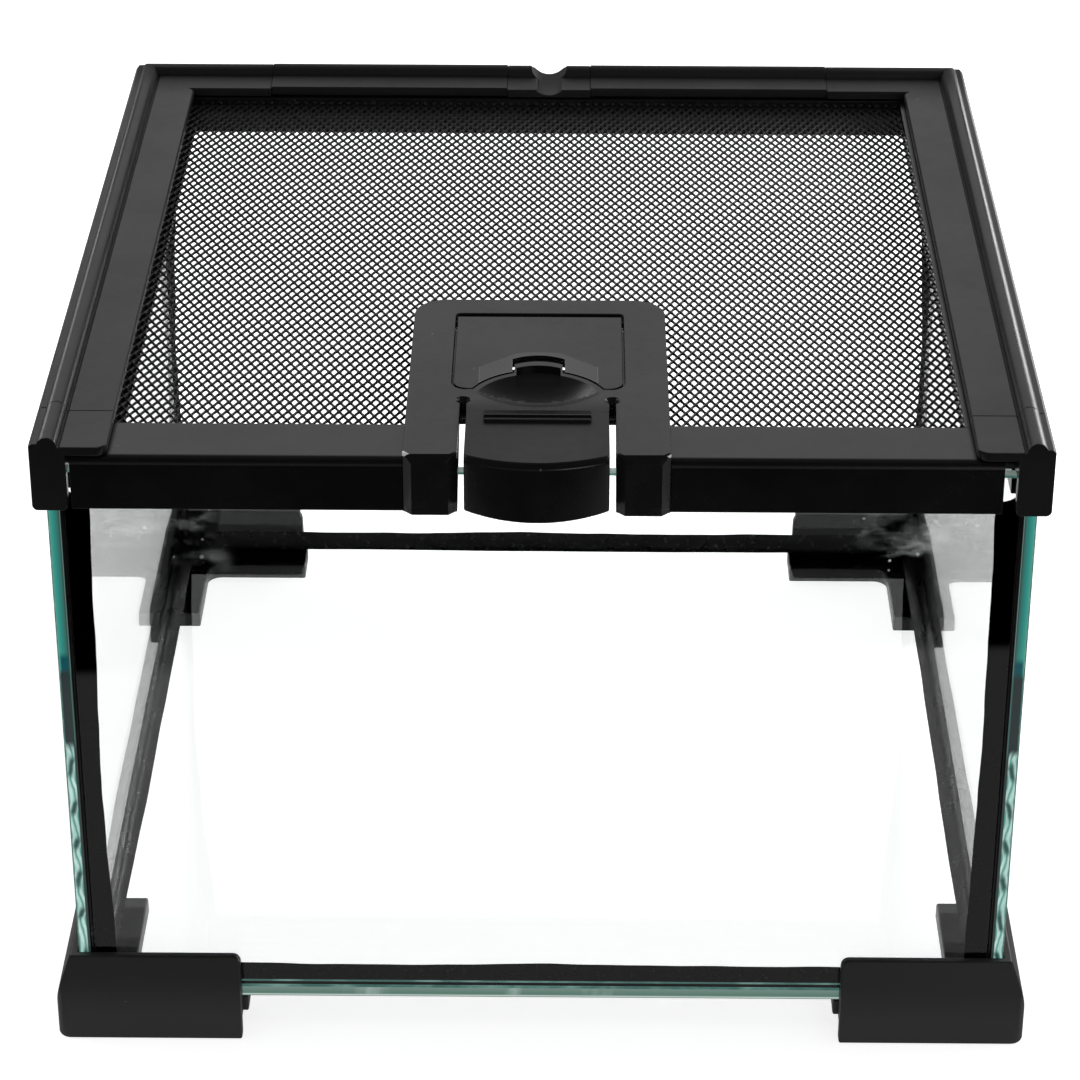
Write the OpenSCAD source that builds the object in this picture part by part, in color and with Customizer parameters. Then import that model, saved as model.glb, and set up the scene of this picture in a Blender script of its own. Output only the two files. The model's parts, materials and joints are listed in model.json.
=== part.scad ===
// Small glass terrarium: five bonded panes on four corner feet, a plastic top frame, and a
// mesh lid that slides out to the front. A latch panel on the lid carries a sprung tongue
// and a small feeding door.
// X runs to the right, Y to the back, Z up. The origin is on the table, under the middle
// of the glass box. All sizes are in millimetres.

/* [Glass box] */
// Outside width of the glass box
tank_w = 201; // [160:1:260]
// Outside depth of the glass box
tank_d = 201; // [180:1:260]
// Height of the wall panes
wall_h = 127; // [90:1:200]
// Thickness of every pane
glass_t = 3; // [2.5:0.5:4]
// Thickness of the silicone between the ends of two panes
joint_t = 0.3; // [0.2:0.1:0.6]
// Leg of the silicone bead in each upright corner
corner_bead = 5.3; // [3:0.2:6]
// Width of the silicone bead round the floor
floor_bead = 3.2; // [2:0.2:4]
// Height of that bead on the walls
floor_rise = 5; // [2:0.2:7]
// Drop of the front beads below the top of the glass
bead_drop = 6.9; // [0.4:0.1:9]

/* [Feet] */
// Height of the underside of the floor pane above the table
floor_z = 7.9; // [6:0.1:12]
// Height of a foot's outer wall
foot_h = 19.75; // [15:0.25:26]
// Length of each arm of a foot, from its outer corner
foot_arm = 40.4; // [30:0.2:50]
// Distance that a foot stands out from the glass at its base
foot_reach = 5.1; // [4:0.1:8]
// Thickness of a foot's wall at its top edge
foot_lip = 1.9; // [1.4:0.1:3.5]
// Height of the knee where a foot's wall stops flaring out
foot_knee = 10.8; // [8.5:0.1:13]
// Height of the curve that rounds the knee, on each side of it
knee_curve = 4; // [1:0.5:6]
// Thickness of a foot's wall below its ledge
foot_wall = 3; // [2:0.1:4]
// Radius of a foot's upright outer corner
foot_corner_r = 3; // [1:0.5:4]
// Radius at the free top end of each arm
foot_end_r = 1.8; // [1:0.2:3]
// Thickness of the ledge that carries the glass
ledge_t = 3.9; // [2:0.1:5]
// Distance that the ledge reaches in under the glass
ledge_in = 11; // [7:0.5:16]
// Radius in the inner corner of the ledge
ledge_r = 3.5; // [1:0.5:6]
// Distance that the ledge runs past the free end of each wall
ledge_over = 1.2; // [0.5:0.1:3]

/* [Top frame] */
// Distance that the frame stands out from the glass
rail_out = 2.5; // [2:0.1:5]
// Height of the frame's outer wall
rail_h = 14.5; // [11:0.5:20]
// Thickness of the leg inside the glass
leg_t = 1.7; // [1:0.1:2.4]
// Thickness of the lip that the lid slides on
lip_t = 1.5; // [1:0.1:2.5]
// Distance that the lip stands in from the inside leg
lip_w = 9.5; // [4:0.1:10]
// Thickness of the flange over the lid
flange_t = 2; // [1.4:0.1:3]
// Width of the side flanges, from the frame's outer face
side_flange = 15.6; // [14:0.1:18]
// Width of the rear corner flanges, from the frame's outer face
rear_flange = 14.4; // [13:0.1:17]
// Width of the rear flange between the corners, from the frame's outer face
mid_flange = 13.6; // [12.5:0.1:16]
// Extra height of the rear rails between the corners
mid_raise = 0.15; // [0:0.05:0.5]
// Radius of the round bead along the top
bead_r = 2.1; // [1:0.1:2.4]
// Distance from the frame's outer face to the middle of that bead
bead_in = 3.7; // [3:0.1:4.5]
// Height of the shoulder outside the bead, above the flange
shoulder_raise = 0.65; // [0:0.05:1]
// Length of the front corner pieces
corner_len = 16.4; // [13:0.1:30]
// Length of the side rails' arms along the back
rear_arm = 34.4; // [20:0.2:50]
// Radius of the frame's rear corners
rear_corner_r = 2; // [0.5:0.1:2.5]
// Radius of the small roundings of the front corner pieces
corner_edge_r = 1.2; // [0.6:0.1:1.6]
// Plan radius at the free corner of the front flanges
flange_corner_r = 2.5; // [1:0.1:4]
// Width of the cable port piece in the rear rail
port_w = 20.5; // [14:0.5:30]
// Radius of the cable notch
notch_r = 4.45; // [3:0.05:5]
// Depth of the cable notch below the top of the bead
notch_depth = 3.4; // [2:0.1:3.6]

/* [Lid] */
// Gap between each side of the lid and the bottom of its groove
lid_side_gap = 1.7; // [1.2:0.1:3]
// Sideways place of the lid in its grooves at rest
lid_shift = -1; // [-1.4:0.1:1.4]
// Thickness of the lid's bars
lid_t = 2.75; // [2:0.05:4]
// Gap under the lid, over the lip that it slides on
lid_rest_gap = 0.05; // [0.02:0.01:0.3]
// Gap over the lid, under the flange
lid_top_gap = 0.3; // [0.1:0.05:1]
// Gap behind the lid, in the rear groove
lid_rear_gap = 0.8; // [0.4:0.1:2]
// Depth of the front bar, front to back
bar_d = 15.6; // [12:0.1:20]
// Height of the front bar's skirt
skirt_h = 11.7; // [7:0.1:13]
// Thickness of the skirt
skirt_t = 1.8; // [1:0.1:2.6]
// Radius along the front bar's top front edge
lid_edge_r = 2; // [0.5:0.1:2.4]
// Width of the side and rear bars
runner_w = 6.7; // [5:0.1:8]

/* [Mesh] */
// Width of one diamond opening and its strand, left to right
mesh_pitch_x = 2.11; // [2:0.01:8]
// Length of one diamond opening and its strand, front to back
mesh_pitch_y = 4.07; // [3:0.01:12]
// Width of a strand
strand_w = 0.5; // [0.3:0.05:0.9]
// Thickness of the mesh sheet
mesh_t = 0.8; // [0.5:0.05:1.2]
// Height between the two crossing layers of strands
layer_gap = 0.04; // [0.02:0.01:0.1]
// Width of the solid border of the mesh, glued under the bars
mesh_border = 3; // [2:0.1:4]

/* [Latch panel] */
// Width of the latch panel
panel_w = 54; // [50:1:80]
// Thickness of the panel's top
panel_t = 1.7; // [1.4:0.1:2.4]
// Distance that the panel stands out in front of the front bar
panel_out = 1.9; // [1.5:0.1:4]
// Width of the panel's top behind the feeding door
panel_back = 7.5; // [4:0.5:12]
// Radius of the panel's rear corners
panel_r = 7; // [3:0.5:9]
// Height of the panel's legs, below its top
leg_drop = 13.4; // [10:0.1:15]
// Cut across the upright edges of the legs
leg_cut = 1.8; // [0.5:0.05:1.85]
// Cut along the top front edge of the legs
leg_top_cut = 1.2; // [0.4:0.1:1.5]
// Width of the tongue
tongue_w = 29.3; // [26:0.1:34]
// Width of the slots beside the tongue
slot_w = 1.35; // [1:0.05:2.5]
// Diameter of the sunk round end of each slot
keyhole_d = 3.1; // [2:0.1:4]
// Depth of that sunk end
keyhole_h = 1.3; // [0.6:0.1:1.6]
// Thickness of the plastic left under each slot
slot_floor = 0.6; // [0.4:0.1:1.2]
// Distance from the tongue's root back to the round slot ends
slot_over = 5; // [3:0.1:6]
// Distance from the front bar's face back to the tongue's root
root_y = 18.5; // [16.2:0.1:20]
// Gap at the tongue's root
root_gap = 0.03; // [0.02:0.01:0.1]
// Distance from the tongue's root back to the body of the thumb scoop
root_strip = 1.9; // [0.2:0.1:2.5]
// Distance that the middle of the tongue stands out from the front bar's face
tongue_out = 5.4; // [4:0.1:8]
// Bow of the tongue's face from side to side
tongue_bow = 3.5; // [2:0.1:5]
// Height of the tongue's face, at its middle
tongue_h = 13.25; // [11:0.05:15]
// Bow of the tongue's lower edge
edge_bow = 1; // [0.4:0.1:2]
// Thickness of the tongue's face
tongue_t = 1.8; // [1.2:0.1:2.4]
// Cut along the top front edge of the tongue
tongue_cut = 1.1; // [0.4:0.1:1.5]
// Length of the finger grip across the tongue
rib_l = 22; // [14:0.1:26]
// Height of the grip's two ribs
rib_h = 1.4; // [0.6:0.1:2]
// Width of the grip, front to back
rib_w = 6.2; // [4.5:0.1:8]
// Distance from the grip to the tongue's root
rib_back = 0.2; // [0.1:0.1:6]
// Thickness of the front rib
ridge_t = 0.6; // [0.4:0.1:1]
// Width of the groove between the two ribs
groove_w = 1.6; // [0.8:0.1:2]
// Height of the groove's floor
groove_z = 0.35; // [0.2:0.05:1]
// Height of the grip's rear edge, where its slope starts
ramp_h = 0.5; // [0.2:0.1:1]
// Gap between the catch under the tongue and the top of the front pane
catch_gap = 0.3; // [0.15:0.05:1]
// Width of that catch
catch_w = 12; // [6:0.5:20]
// Thickness of that catch
catch_t = 1.8; // [1:0.1:3]
// Distance from the front pane's inner face back to that catch
catch_back = 0.6; // [0.3:0.1:2]

/* [Feeding door] */
// Width of the feeding door
door_w = 35.2; // [30:0.1:38]
// Length of the feeding door
door_l = 35.7; // [32:0.1:38]
// Width of the bridge between the round slot ends and the door
door_bridge = 3.75; // [2:0.05:6]
// Thickness of the door
door_t = 1.9; // [1.4:0.1:2.2]
// Gap round the door
door_gap = 0.45; // [0.3:0.05:0.8]
// Radius of the door's front corners
door_r = 3; // [1:0.1:4]
// Thickness of the collar round the door
collar_t = 1.5; // [1:0.1:2]
// Depth of the collar below the panel's top plate
collar_h = 2.6; // [2.2:0.1:4]
// Distance that the door's rest reaches in under its edges
rest_w = 0.8; // [0.4:0.1:2]
// Gap between the door and its rest
rest_gap = 0.1; // [0.05:0.05:0.4]
// Width of the thumb scoop
scoop_w = 25.5; // [20:0.5:28]
// Length of the thumb scoop
scoop_l = 15.4; // [12:0.1:15.6]
// Depth of each of the two round dishes that form the scoop, at its own middle
dish_h = 4; // [2:0.1:5]
// Distance from the tongue's root to the thumb scoop
scoop_rim = 1.7; // [1:0.1:4]
// Distance that the door's notch reaches in behind the thumb scoop
notch_l = 8.5; // [6:0.1:10]
// Half the width of that notch
notch_x = 5.5; // [4:0.1:7]
// Depth of the finger recess between the scoop and the catch
recess_h = 1.8; // [1:0.1:3.4]
// Distance that the finger recess reaches forward into the scoop
recess_l = 3.4; // [1:0.1:7]
// Thickness of the wall on each side of the finger recess
recess_wall = 0.4; // [0.4:0.1:1.5]
// Rise of the notch's arched end
notch_rise = 1.8; // [1:0.1:2.4]
// Open gap between the arched end of the notch and the catch
catch_inset = 2.6; // [1:0.1:4]
// Thickness of the catch's arched wall
catch_wall = 1.9; // [1.2:0.1:3]
// Height of the low pad on the door round its notch
pad_h = 0.2; // [0.1:0.05:0.6]
// Radius of the door's hinge pins
pin_r = 0.8; // [0.6:0.05:1]
// Gap round a hinge pin
pin_gap = 0.06; // [0.03:0.01:0.1]
// Radius of the door's knuckle
knuckle_r = 1.72; // [1.71:0.01:1.8]

/* [Hidden] */
$fn = 48;
over = 1;

// Side clearance between the glass and the plastic that takes it
seat_gap = 0.1;
// Half sizes of the glass box, outside and inside
half_w = tank_w / 2;
half_d = tank_d / 2;
in_w = half_w - glass_t;
in_d = half_d - glass_t;
// Heights, from the table up
floor_top = floor_z + glass_t;
pane_top = floor_top + wall_h;
lip_top = pane_top + lip_t;
lid_z0 = lip_top + lid_rest_gap;
lid_z1 = lid_z0 + lid_t;
flange_z = lid_z1 + lid_top_gap;
rail_top = flange_z + flange_t;
rail_z0 = rail_top - rail_h;
mesh_z1 = lid_z0 + mesh_t;
panel_z1 = lid_z1 + panel_t;
// Outer faces of the top frame
out_x = half_w + rail_out;
out_y = half_d + rail_out;
// Places across the frame's section, measured inwards from its outer face
u_slot0 = rail_out - seat_gap;
u_slot1 = rail_out + glass_t + seat_gap;
u_leg = u_slot1 + leg_t;
u_lip = u_leg + lip_w;
// Small cuts along the frame's edges, and the groove beside the bead
edge_cut = 0.6;
crease = 0.3;
// Ends of the lid, front to back
lid_y0 = -out_y;
bar_y1 = lid_y0 + bar_d;
lid_y1 = out_y - u_leg - lid_rear_gap;
mesh_y0 = bar_y1 - mesh_border;
mesh_y1 = lid_y1 - runner_w + mesh_border;
lid_x = out_x - u_leg - lid_side_gap;
mesh_x = lid_x - runner_w + mesh_border;
// Plan of the latch panel, from the front bar's face
face_y = lid_y0;
panel_y0 = face_y - panel_out;
tongue_x = tongue_w / 2;
slot_x = tongue_x + slot_w;
neck_y = face_y + root_y;
slot_y = neck_y + slot_over;
slot_z = mesh_z1 + slot_floor;
keyhole_x = tongue_x + slot_w / 2;
// Plan of the door and its hinge
door_x = door_w / 2;
door_y0 = slot_y + keyhole_d / 2 + door_bridge;
door_y1 = door_y0 + door_l;
panel_y1 = door_y1 + panel_back;
hinge_y = door_y1 - panel_t;
hinge_z = panel_z1 - panel_t;
door_rear_r = 0.7;
// Depth that the finger grip's section goes into the tongue
grip_root = 0.2;
// Outline of the pad round the notch
pad_rim = 1.5;
pad_inset = 0.3;
pad_drop = 5.7;
pad_slope = 0.84;
pad_r = 20;
collar_x = door_x + door_gap + collar_t;
collar_y0 = neck_y + root_strip;
collar_y1 = door_y1 + door_gap + collar_t;
collar_z = lid_z1 - collar_h;
// The scoop is bounded by two arcs, which meet at its pointed ends
scoop_y0 = neck_y + scoop_rim;
scoop_y1 = scoop_y0 + scoop_l;
scoop_rise = 0.56 * scoop_l;
rear_arc_r = arc_radius(scoop_w / 2, scoop_rise);
front_arc_r = arc_radius(scoop_w / 2, scoop_l - scoop_rise);
rear_arc_y = scoop_y1 - rear_arc_r;
front_arc_y = scoop_y0 + front_arc_r;
// Rim between the scoop and the door, and the crown of the door's notch
rim = 1.2;
notch_y = scoop_y1 + notch_l;
// Base tab of the lid under the latch panel
base_x = panel_w / 2 - 1;
base_y1 = panel_y1 - 1;

// Radius of the arc over a half chord with a given rise
function arc_radius(half, rise) = (half * half + rise * rise) / (2 * rise);

// A box from its two opposite corners
module block(low, high) {
    translate(low) cube(high - low);
}

// What rounds the upright edge of a box: the corner is at the origin, the box lies towards -X -Y
module edge_tool(r, h) {
    translate([-r, -r, 0]) difference() {
        cube([r + over, r + over, h]);
        translate([0, 0, -over]) cylinder(r = r, h = h + 2 * over);
    }
}

module glass() {
    color([0.72, 0.9, 0.86, 0.35]) children();
}

module silicone() {
    color([0.06, 0.06, 0.06]) children();
}

module plastic() {
    color([0.13, 0.13, 0.14]) children();
}

// ---- Glass box ----

module floor_pane() {
    glass() block([-half_w, -half_d, floor_z], [half_w, half_d, floor_top]);
}

module side_pane(side) {
    glass() block([side > 0 ? in_w : -half_w, -half_d, floor_top],
        [side > 0 ? half_w : -in_w, half_d, pane_top]);
}

module cross_pane(y0) {
    glass() block([-in_w + joint_t, y0, floor_top], [in_w - joint_t, y0 + glass_t, pane_top]);
}

// Face of a bead of silicone in the corner at the origin, hollowed between its two legs
function bead_arc(width, rise) =
    [for (i = [0 : 6]) let (a = 15 * i) [width * (1 - sin(a)), rise * (1 - cos(a))]];

// Bead in the rear right corner of a square corner: the joint between the panes and the fillet
module corner_seal(z1) {
    translate([-in_w, -in_d, floor_top]) linear_extrude(z1 - floor_top)
        polygon(concat([[0, 0], [0, -glass_t], [joint_t, -glass_t], [joint_t, 0]],
            bead_arc(corner_bead, corner_bead)));
}

module floor_run(length) {
    rotate([90, 0, 0]) translate([0, 0, -length]) linear_extrude(2 * length)
        polygon(concat([[0, 0]], bead_arc(floor_bead, floor_rise)));
}

module floor_seal() {
    silicone() difference() {
        union() for (s = [0, 1]) {
            mirror([s, 0, 0]) translate([-in_w, 0, floor_top]) floor_run(in_d);
            mirror([0, s, 0]) translate([0, -in_d, floor_top]) rotate([0, 0, 90]) floor_run(in_w);
        }
        for (a = [0, 1], b = [0, 1]) mirror([a, 0, 0]) mirror([0, b, 0]) corner_seal(pane_top);
    }
}

// ---- Feet ----

// Section of a foot, from the inner end of its other arm out to its flared face. A parabola
// joins the upright base to the slope, over a height of twice the knee's curve.
module foot_side(half) {
    base = half + foot_reach;
    inner = base - foot_arm - ledge_over;
    slope = (foot_reach - foot_lip) / (foot_h - foot_knee);
    knee = [for (i = [0 : 6]) let (t = i / 6)
        [base - slope * knee_curve * t * t, foot_knee + knee_curve * (2 * t - 1)]];
    polygon(concat([[inner, 0], [base, 0]], knee, [[half + foot_lip, foot_h], [inner, foot_h]]));
}

module foot() {
    x1 = half_w + foot_reach;
    y1 = half_d + foot_reach;
    length = foot_arm + ledge_over;
    wall_x = x1 - foot_arm;
    wall_y = y1 - foot_arm;
    ledge_z0 = floor_z - ledge_t;
    inner_x = half_w - ledge_in;
    inner_y = half_d - ledge_in;
    plastic() difference() {
        // The two flared sides meet in a mitre
        intersection() {
            translate([0, y1, 0]) rotate([90, 0, 0]) linear_extrude(length) foot_side(half_w);
            translate([x1 - length, 0, 0]) rotate([90, 0, 90]) linear_extrude(length) foot_side(half_d);
        }
        // The rounded corner runs out where the flared sides draw in
        translate([x1, y1, -over]) edge_tool(foot_corner_r, foot_h + 2 * over);
        // Seat of the glass
        block([0, 0, floor_z], [half_w + seat_gap, half_d + seat_gap, foot_h + over]);
        // Hollow under the ledge
        block([0, 0, -over], [x1 - foot_wall, y1 - foot_wall, ledge_z0]);
        // Space inside the ledge
        difference() {
            block([0, 0, ledge_z0 - over], [inner_x, inner_y, floor_z + over]);
            translate([inner_x, inner_y, ledge_z0 - 2 * over]) edge_tool(ledge_r, floor_z);
        }
        // The walls end before the ledge does, with a rounded top corner
        foot_end(wall_x, half_d + seat_gap);
        mirror([1, -1, 0]) foot_end(wall_y, half_w + seat_gap);
    }
}

// What is cut off the free end of a foot's wall
module foot_end(wall_end, seat) {
    depth = foot_reach + 2 * over;
    block([0, seat, -over], [wall_end, seat + depth, foot_h + over]);
    translate([wall_end, seat - over, foot_h]) rotate([-90, 0, 0]) mirror([1, 1, 0])
        edge_tool(foot_end_r, depth);
}

// ---- Top frame ----

// Section of the frame: u runs inwards from the outer face
module frame_section(reach, raise) {
    top = rail_top + raise;
    shoulder = top + shoulder_raise;
    u_crease = bead_in + bead_r;
    polygon([
        [edge_cut, rail_z0], [u_slot0, rail_z0], [u_slot0, pane_top], [u_slot1, pane_top],
        [u_slot1, rail_z0], [u_leg, rail_z0], [u_leg, pane_top], [u_lip, pane_top],
        [u_lip, lip_top], [u_leg, lip_top], [u_leg, flange_z], [reach, flange_z],
        [reach, top - crease], [reach - crease, top], [u_crease + 2 * crease, top],
        [u_crease + crease, top - crease], [u_crease, top], [bead_in, top],
        [bead_in, shoulder], [edge_cut, shoulder], [0, shoulder - edge_cut],
        [0, rail_z0 + edge_cut]
    ]);
    translate([bead_in, top]) circle(r = bead_r);
}

// A run of the frame along the left side, and one along the back
module left_run(y0, y1, reach) {
    translate([-out_x, y1, 0]) rotate([90, 0, 0]) linear_extrude(y1 - y0) frame_section(reach, 0);
}

module rear_run(x0, x1, reach, raise) {
    translate([x1, out_y, 0]) rotate([90, 0, -90]) linear_extrude(x1 - x0) frame_section(reach, raise);
}

module rail_left() {
    mitre = 40;
    plastic() difference() {
        union() {
            intersection() {
                left_run(-out_y + corner_len, out_y, side_flange);
                translate([-out_x, out_y, 0]) linear_extrude(2 * rail_top)
                    polygon([[-over, over], [mitre, -mitre], [mitre, -2 * out_y], [-over, -2 * out_y]]);
            }
            intersection() {
                rear_run(-out_x, -out_x + rear_arm, rear_flange, 0);
                translate([-out_x, out_y, 0]) linear_extrude(2 * rail_top)
                    polygon([[-over, over], [mitre, -mitre], [2 * mitre, -mitre], [2 * mitre, over]]);
            }
        }
        translate([-out_x, out_y, 0]) mirror([1, 0, 0]) edge_tool(rear_corner_r, 2 * rail_top);
    }
}

module front_corner() {
    wall_y = -half_d - seat_gap;
    plastic() difference() {
        union() {
            left_run(-out_y, -out_y + corner_len, side_flange);
            block([-out_x, -out_y, rail_z0], [-out_x + u_leg, wall_y, rail_top - edge_cut]);
        }
        // Front pane, and the silicone behind it
        block([-out_x + u_slot0, wall_y, rail_z0 - over],
            [-out_x + u_leg + over, -in_d + seat_gap, pane_top]);
        block([-out_x + u_slot1 - over, wall_y, rail_z0 - over],
            [-out_x + u_leg + over, -in_d + corner_bead + seat_gap, pane_top]);
        // The lip starts behind the front pane
        block([-out_x + u_leg, -out_y - over, pane_top - over],
            [-out_x + u_lip + over, -in_d + seat_gap, lip_top + over]);
        // Rounded lower corners and flange corner
        translate([-out_x, -out_y - over, rail_z0]) rotate([-90, 0, 0]) mirror([1, 0, 0])
            edge_tool(corner_edge_r, rail_out + over - seat_gap);
        translate([-out_x + u_leg, -out_y - over, rail_z0]) rotate([-90, 0, 0])
            edge_tool(corner_edge_r, rail_out + over - seat_gap);
        translate([-out_x + side_flange, -out_y, flange_z - over]) mirror([0, 1, 0])
            edge_tool(flange_corner_r, flange_t + 2 * over);
    }
}

module rear_rail_left() {
    plastic() rear_run(-out_x + rear_arm, -port_w / 2, mid_flange, mid_raise);
}

module cable_port() {
    plastic() difference() {
        rear_run(-port_w / 2, port_w / 2, rear_flange, 0);
        translate([0, out_y + over, rail_top + bead_r - notch_depth + notch_r]) rotate([90, 0, 0])
            cylinder(r = notch_r, h = rear_flange + 2 * over);
    }
}

// ---- Lid ----

module lid_front_bar() {
    plastic() translate([lid_shift, 0, 0]) difference() {
        union() {
            block([-lid_x, lid_y0, lid_z0], [lid_x, bar_y1, lid_z1]);
            block([-lid_x, lid_y0, lid_z1 - skirt_h], [lid_x, lid_y0 + skirt_t, lid_z1]);
            block([-base_x, bar_y1 - over, mesh_z1], [base_x, base_y1, lid_z1]);
        }
        // Window behind the tongue and its root, open to the front
        block([-slot_x - over, lid_y0 - over, lid_z1 - skirt_h - over],
            [slot_x + over, collar_y0 + over, lid_z1 + over]);
        // Rounded top front edge
        translate([-lid_x - over, lid_y0, lid_z1]) rotate([0, 90, 0]) mirror([1, 1, 0])
            edge_tool(lid_edge_r, 2 * (lid_x + over));
        // Step that takes the edge of the mesh
        block([-mesh_x, mesh_y0, lid_z0 - over], [mesh_x, bar_y1, mesh_z1]);
        // Opening for the collar of the feeding door
        block([-collar_x - seat_gap, collar_y0, lid_z0],
            [collar_x + seat_gap, collar_y1 + seat_gap, lid_z1 + over]);
    }
}

// Space under the slots beside the tongue
module slots_below() {
    for (s = [-1, 1]) translate([s * keyhole_x, 0, 0])
        block([-slot_w / 2, bar_y1 - over, slot_z], [slot_w / 2, slot_y, lid_z1 + over]);
}

module lid_runner(side) {
    inner_x = lid_x - runner_w;
    plastic() translate([lid_shift, 0, 0]) mirror([side > 0 ? 0 : 1, 0, 0]) difference() {
        block([inner_x, bar_y1, lid_z0], [lid_x, lid_y1 - runner_w, lid_z1]);
        block([inner_x - over, bar_y1 - over, lid_z0 - over], [mesh_x, lid_y1, mesh_z1]);
    }
}

module lid_rear_bar() {
    plastic() translate([lid_shift, 0, 0]) difference() {
        block([-lid_x, lid_y1 - runner_w, lid_z0], [lid_x, lid_y1, lid_z1]);
        block([-mesh_x, lid_y1 - runner_w - over, lid_z0 - over], [mesh_x, mesh_y1, mesh_z1]);
    }
}

// One straight strand. It crosses the front border's middle line at x, leans to side s, and is
// cut where it meets the middle line of another border.
module strand(x, s, half, y0, y1) {
    slope = s * mesh_pitch_x / mesh_pitch_y;
    lean = atan(slope);
    ends = [y0 + (-half - x) / slope, y0 + (half - x) / slope];
    ya = max(y0, min(ends));
    yb = min(y1, max(ends));
    layer_t = (mesh_t - 3 * layer_gap) / 2;
    if (yb - ya > strand_w)
        translate([x + slope * (ya - y0), ya, layer_gap + (s > 0 ? layer_t + layer_gap : 0)])
            rotate([0, 0, -lean]) translate([-strand_w / 2, 0, 0])
                cube([strand_w, (yb - ya) / cos(lean), layer_t]);
}

module ring(low, high, width, h) {
    difference() {
        translate([low.x, low.y, 0]) cube([high.x - low.x, high.y - low.y, h]);
        translate([low.x + width, low.y + width, -over])
            cube([high.x - low.x - 2 * width, high.y - low.y - 2 * width, h + 2 * over]);
    }
}

module lid_mesh() {
    half = mesh_x - mesh_border / 2;
    y0 = mesh_y0 + mesh_border / 2;
    y1 = mesh_y1 - mesh_border / 2;
    sweep = (y1 - y0) * mesh_pitch_x / mesh_pitch_y;
    count = ceil((2 * half + sweep) / mesh_pitch_x);
    color([0.3, 0.3, 0.31]) translate([lid_shift, 0, lid_z0]) difference() {
        union() {
            ring([-mesh_x, mesh_y0], [mesh_x, mesh_y1], mesh_border, mesh_t);
            // Solid edge round the base of the latch panel
            translate([-base_x, mesh_y0, 0]) cube([2 * base_x, base_y1 - mesh_y0, mesh_t]);
            for (i = [0 : count], s = [-1, 1])
                strand(s * (-half - sweep + i * mesh_pitch_x), s, half, y0, y1);
        }
        // Opening for the feeding door, and the window behind the tongue and its root
        translate([-collar_x - seat_gap, collar_y0, -over])
            cube([2 * (collar_x + seat_gap), collar_y1 + seat_gap - collar_y0, mesh_t + 2 * over]);
        translate([-slot_x - over, mesh_y0 - over, -over])
            cube([2 * (slot_x + over), collar_y0 - mesh_y0 + 2 * over, mesh_t + 2 * over]);
    }
}

// ---- Latch panel ----

// What rounds the corner at the origin of an outline that lies towards -X -Y
module corner_cut(r) {
    if (r > 0) translate([-r, -r]) difference() {
        square(r + over);
        circle(r = r);
    }
}

// A rectangle with rounded front and rear corners
module rounded_plan(half, y0, y1, front_r, rear_r) {
    difference() {
        translate([-half, y0]) square([2 * half, y1 - y0]);
        for (m = [0, 1]) mirror([m, 0]) {
            translate([half, y1]) corner_cut(rear_r);
            translate([half, y0]) mirror([0, 1]) corner_cut(front_r);
        }
    }
}

// Arched strip behind the thumb scoop, up to a crown at y
module arched_strip(half, y) {
    crown_r = arc_radius(notch_x, notch_rise);
    intersection() {
        translate([-half, rear_arc_y]) square([2 * half, y - rear_arc_y]);
        translate([0, y - crown_r]) circle(r = crown_r);
    }
}

// Plan of the feeding door, grown by g on every side. Inset is the open gap at the catch.
module door_plan(g, inset) {
    difference() {
        rounded_plan(door_x + g, door_y0 - g, door_y1 + g, door_r + g, door_rear_r + g);
        translate([0, rear_arc_y]) circle(r = rear_arc_r + rim + door_gap - g);
        arched_strip(notch_x - g, notch_y - inset);
    }
}

// Low pad on the door, round its notch: two slanted shoulders under a wide arc
module door_pad() {
    half = scoop_w / 2 - pad_inset;
    shoulder_y = notch_y - pad_drop;
    intersection() {
        polygon([
            [-half, door_y0 - over], [-half, shoulder_y], [0, shoulder_y + pad_slope * half],
            [half, shoulder_y], [half, door_y0 - over]
        ]);
        translate([0, notch_y + pad_rim - pad_r]) circle(r = pad_r);
    }
}

// Plan of the panel's top, with the slots beside the tongue
module panel_plan() {
    half = panel_w / 2;
    difference() {
        rounded_plan(half, panel_y0, panel_y1, 0, panel_r);
        translate([-slot_x, panel_y0 - over]) square([2 * slot_x, neck_y - panel_y0 + over]);
        for (s = [-1, 1]) {
            translate([s * keyhole_x - slot_w / 2, neck_y - over]) square([slot_w, slot_y - neck_y + over]);
            translate([s * keyhole_x, slot_y]) circle(d = slot_w);
            translate([s * half, panel_y0]) rotate(45) square(sqrt(2) * leg_cut, center = true);
            translate([s * slot_x, panel_y0]) rotate(45) square(sqrt(2) * leg_cut, center = true);
        }
        door_plan(door_gap, catch_inset);
    }
}

// Ball that dishes the panel's top: it cuts a circle of radius r there, and is dish_h deep
module dish(r) {
    ball_r = arc_radius(r, dish_h);
    translate([0, 0, panel_z1 + ball_r - dish_h]) sphere(r = ball_r);
}

// Sunk round end of a slot
module keyhole() {
    flare = (keyhole_d - slot_w) / (2 * keyhole_h);
    translate([0, 0, panel_z1 - keyhole_h])
        cylinder(r1 = slot_w / 2, r2 = keyhole_d / 2 + flare * over, h = keyhole_h + over);
}

// Opening for the door through the collar, which leaves a rest under the door's edges. The
// rest ends in front of the hinge.
module port_plan() {
    door_plan(-rest_w, catch_inset);
    intersection() {
        door_plan(door_gap, catch_inset);
        translate([-panel_w, hinge_y - knuckle_r - rest_w]) square([2 * panel_w, panel_w]);
    }
}

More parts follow.
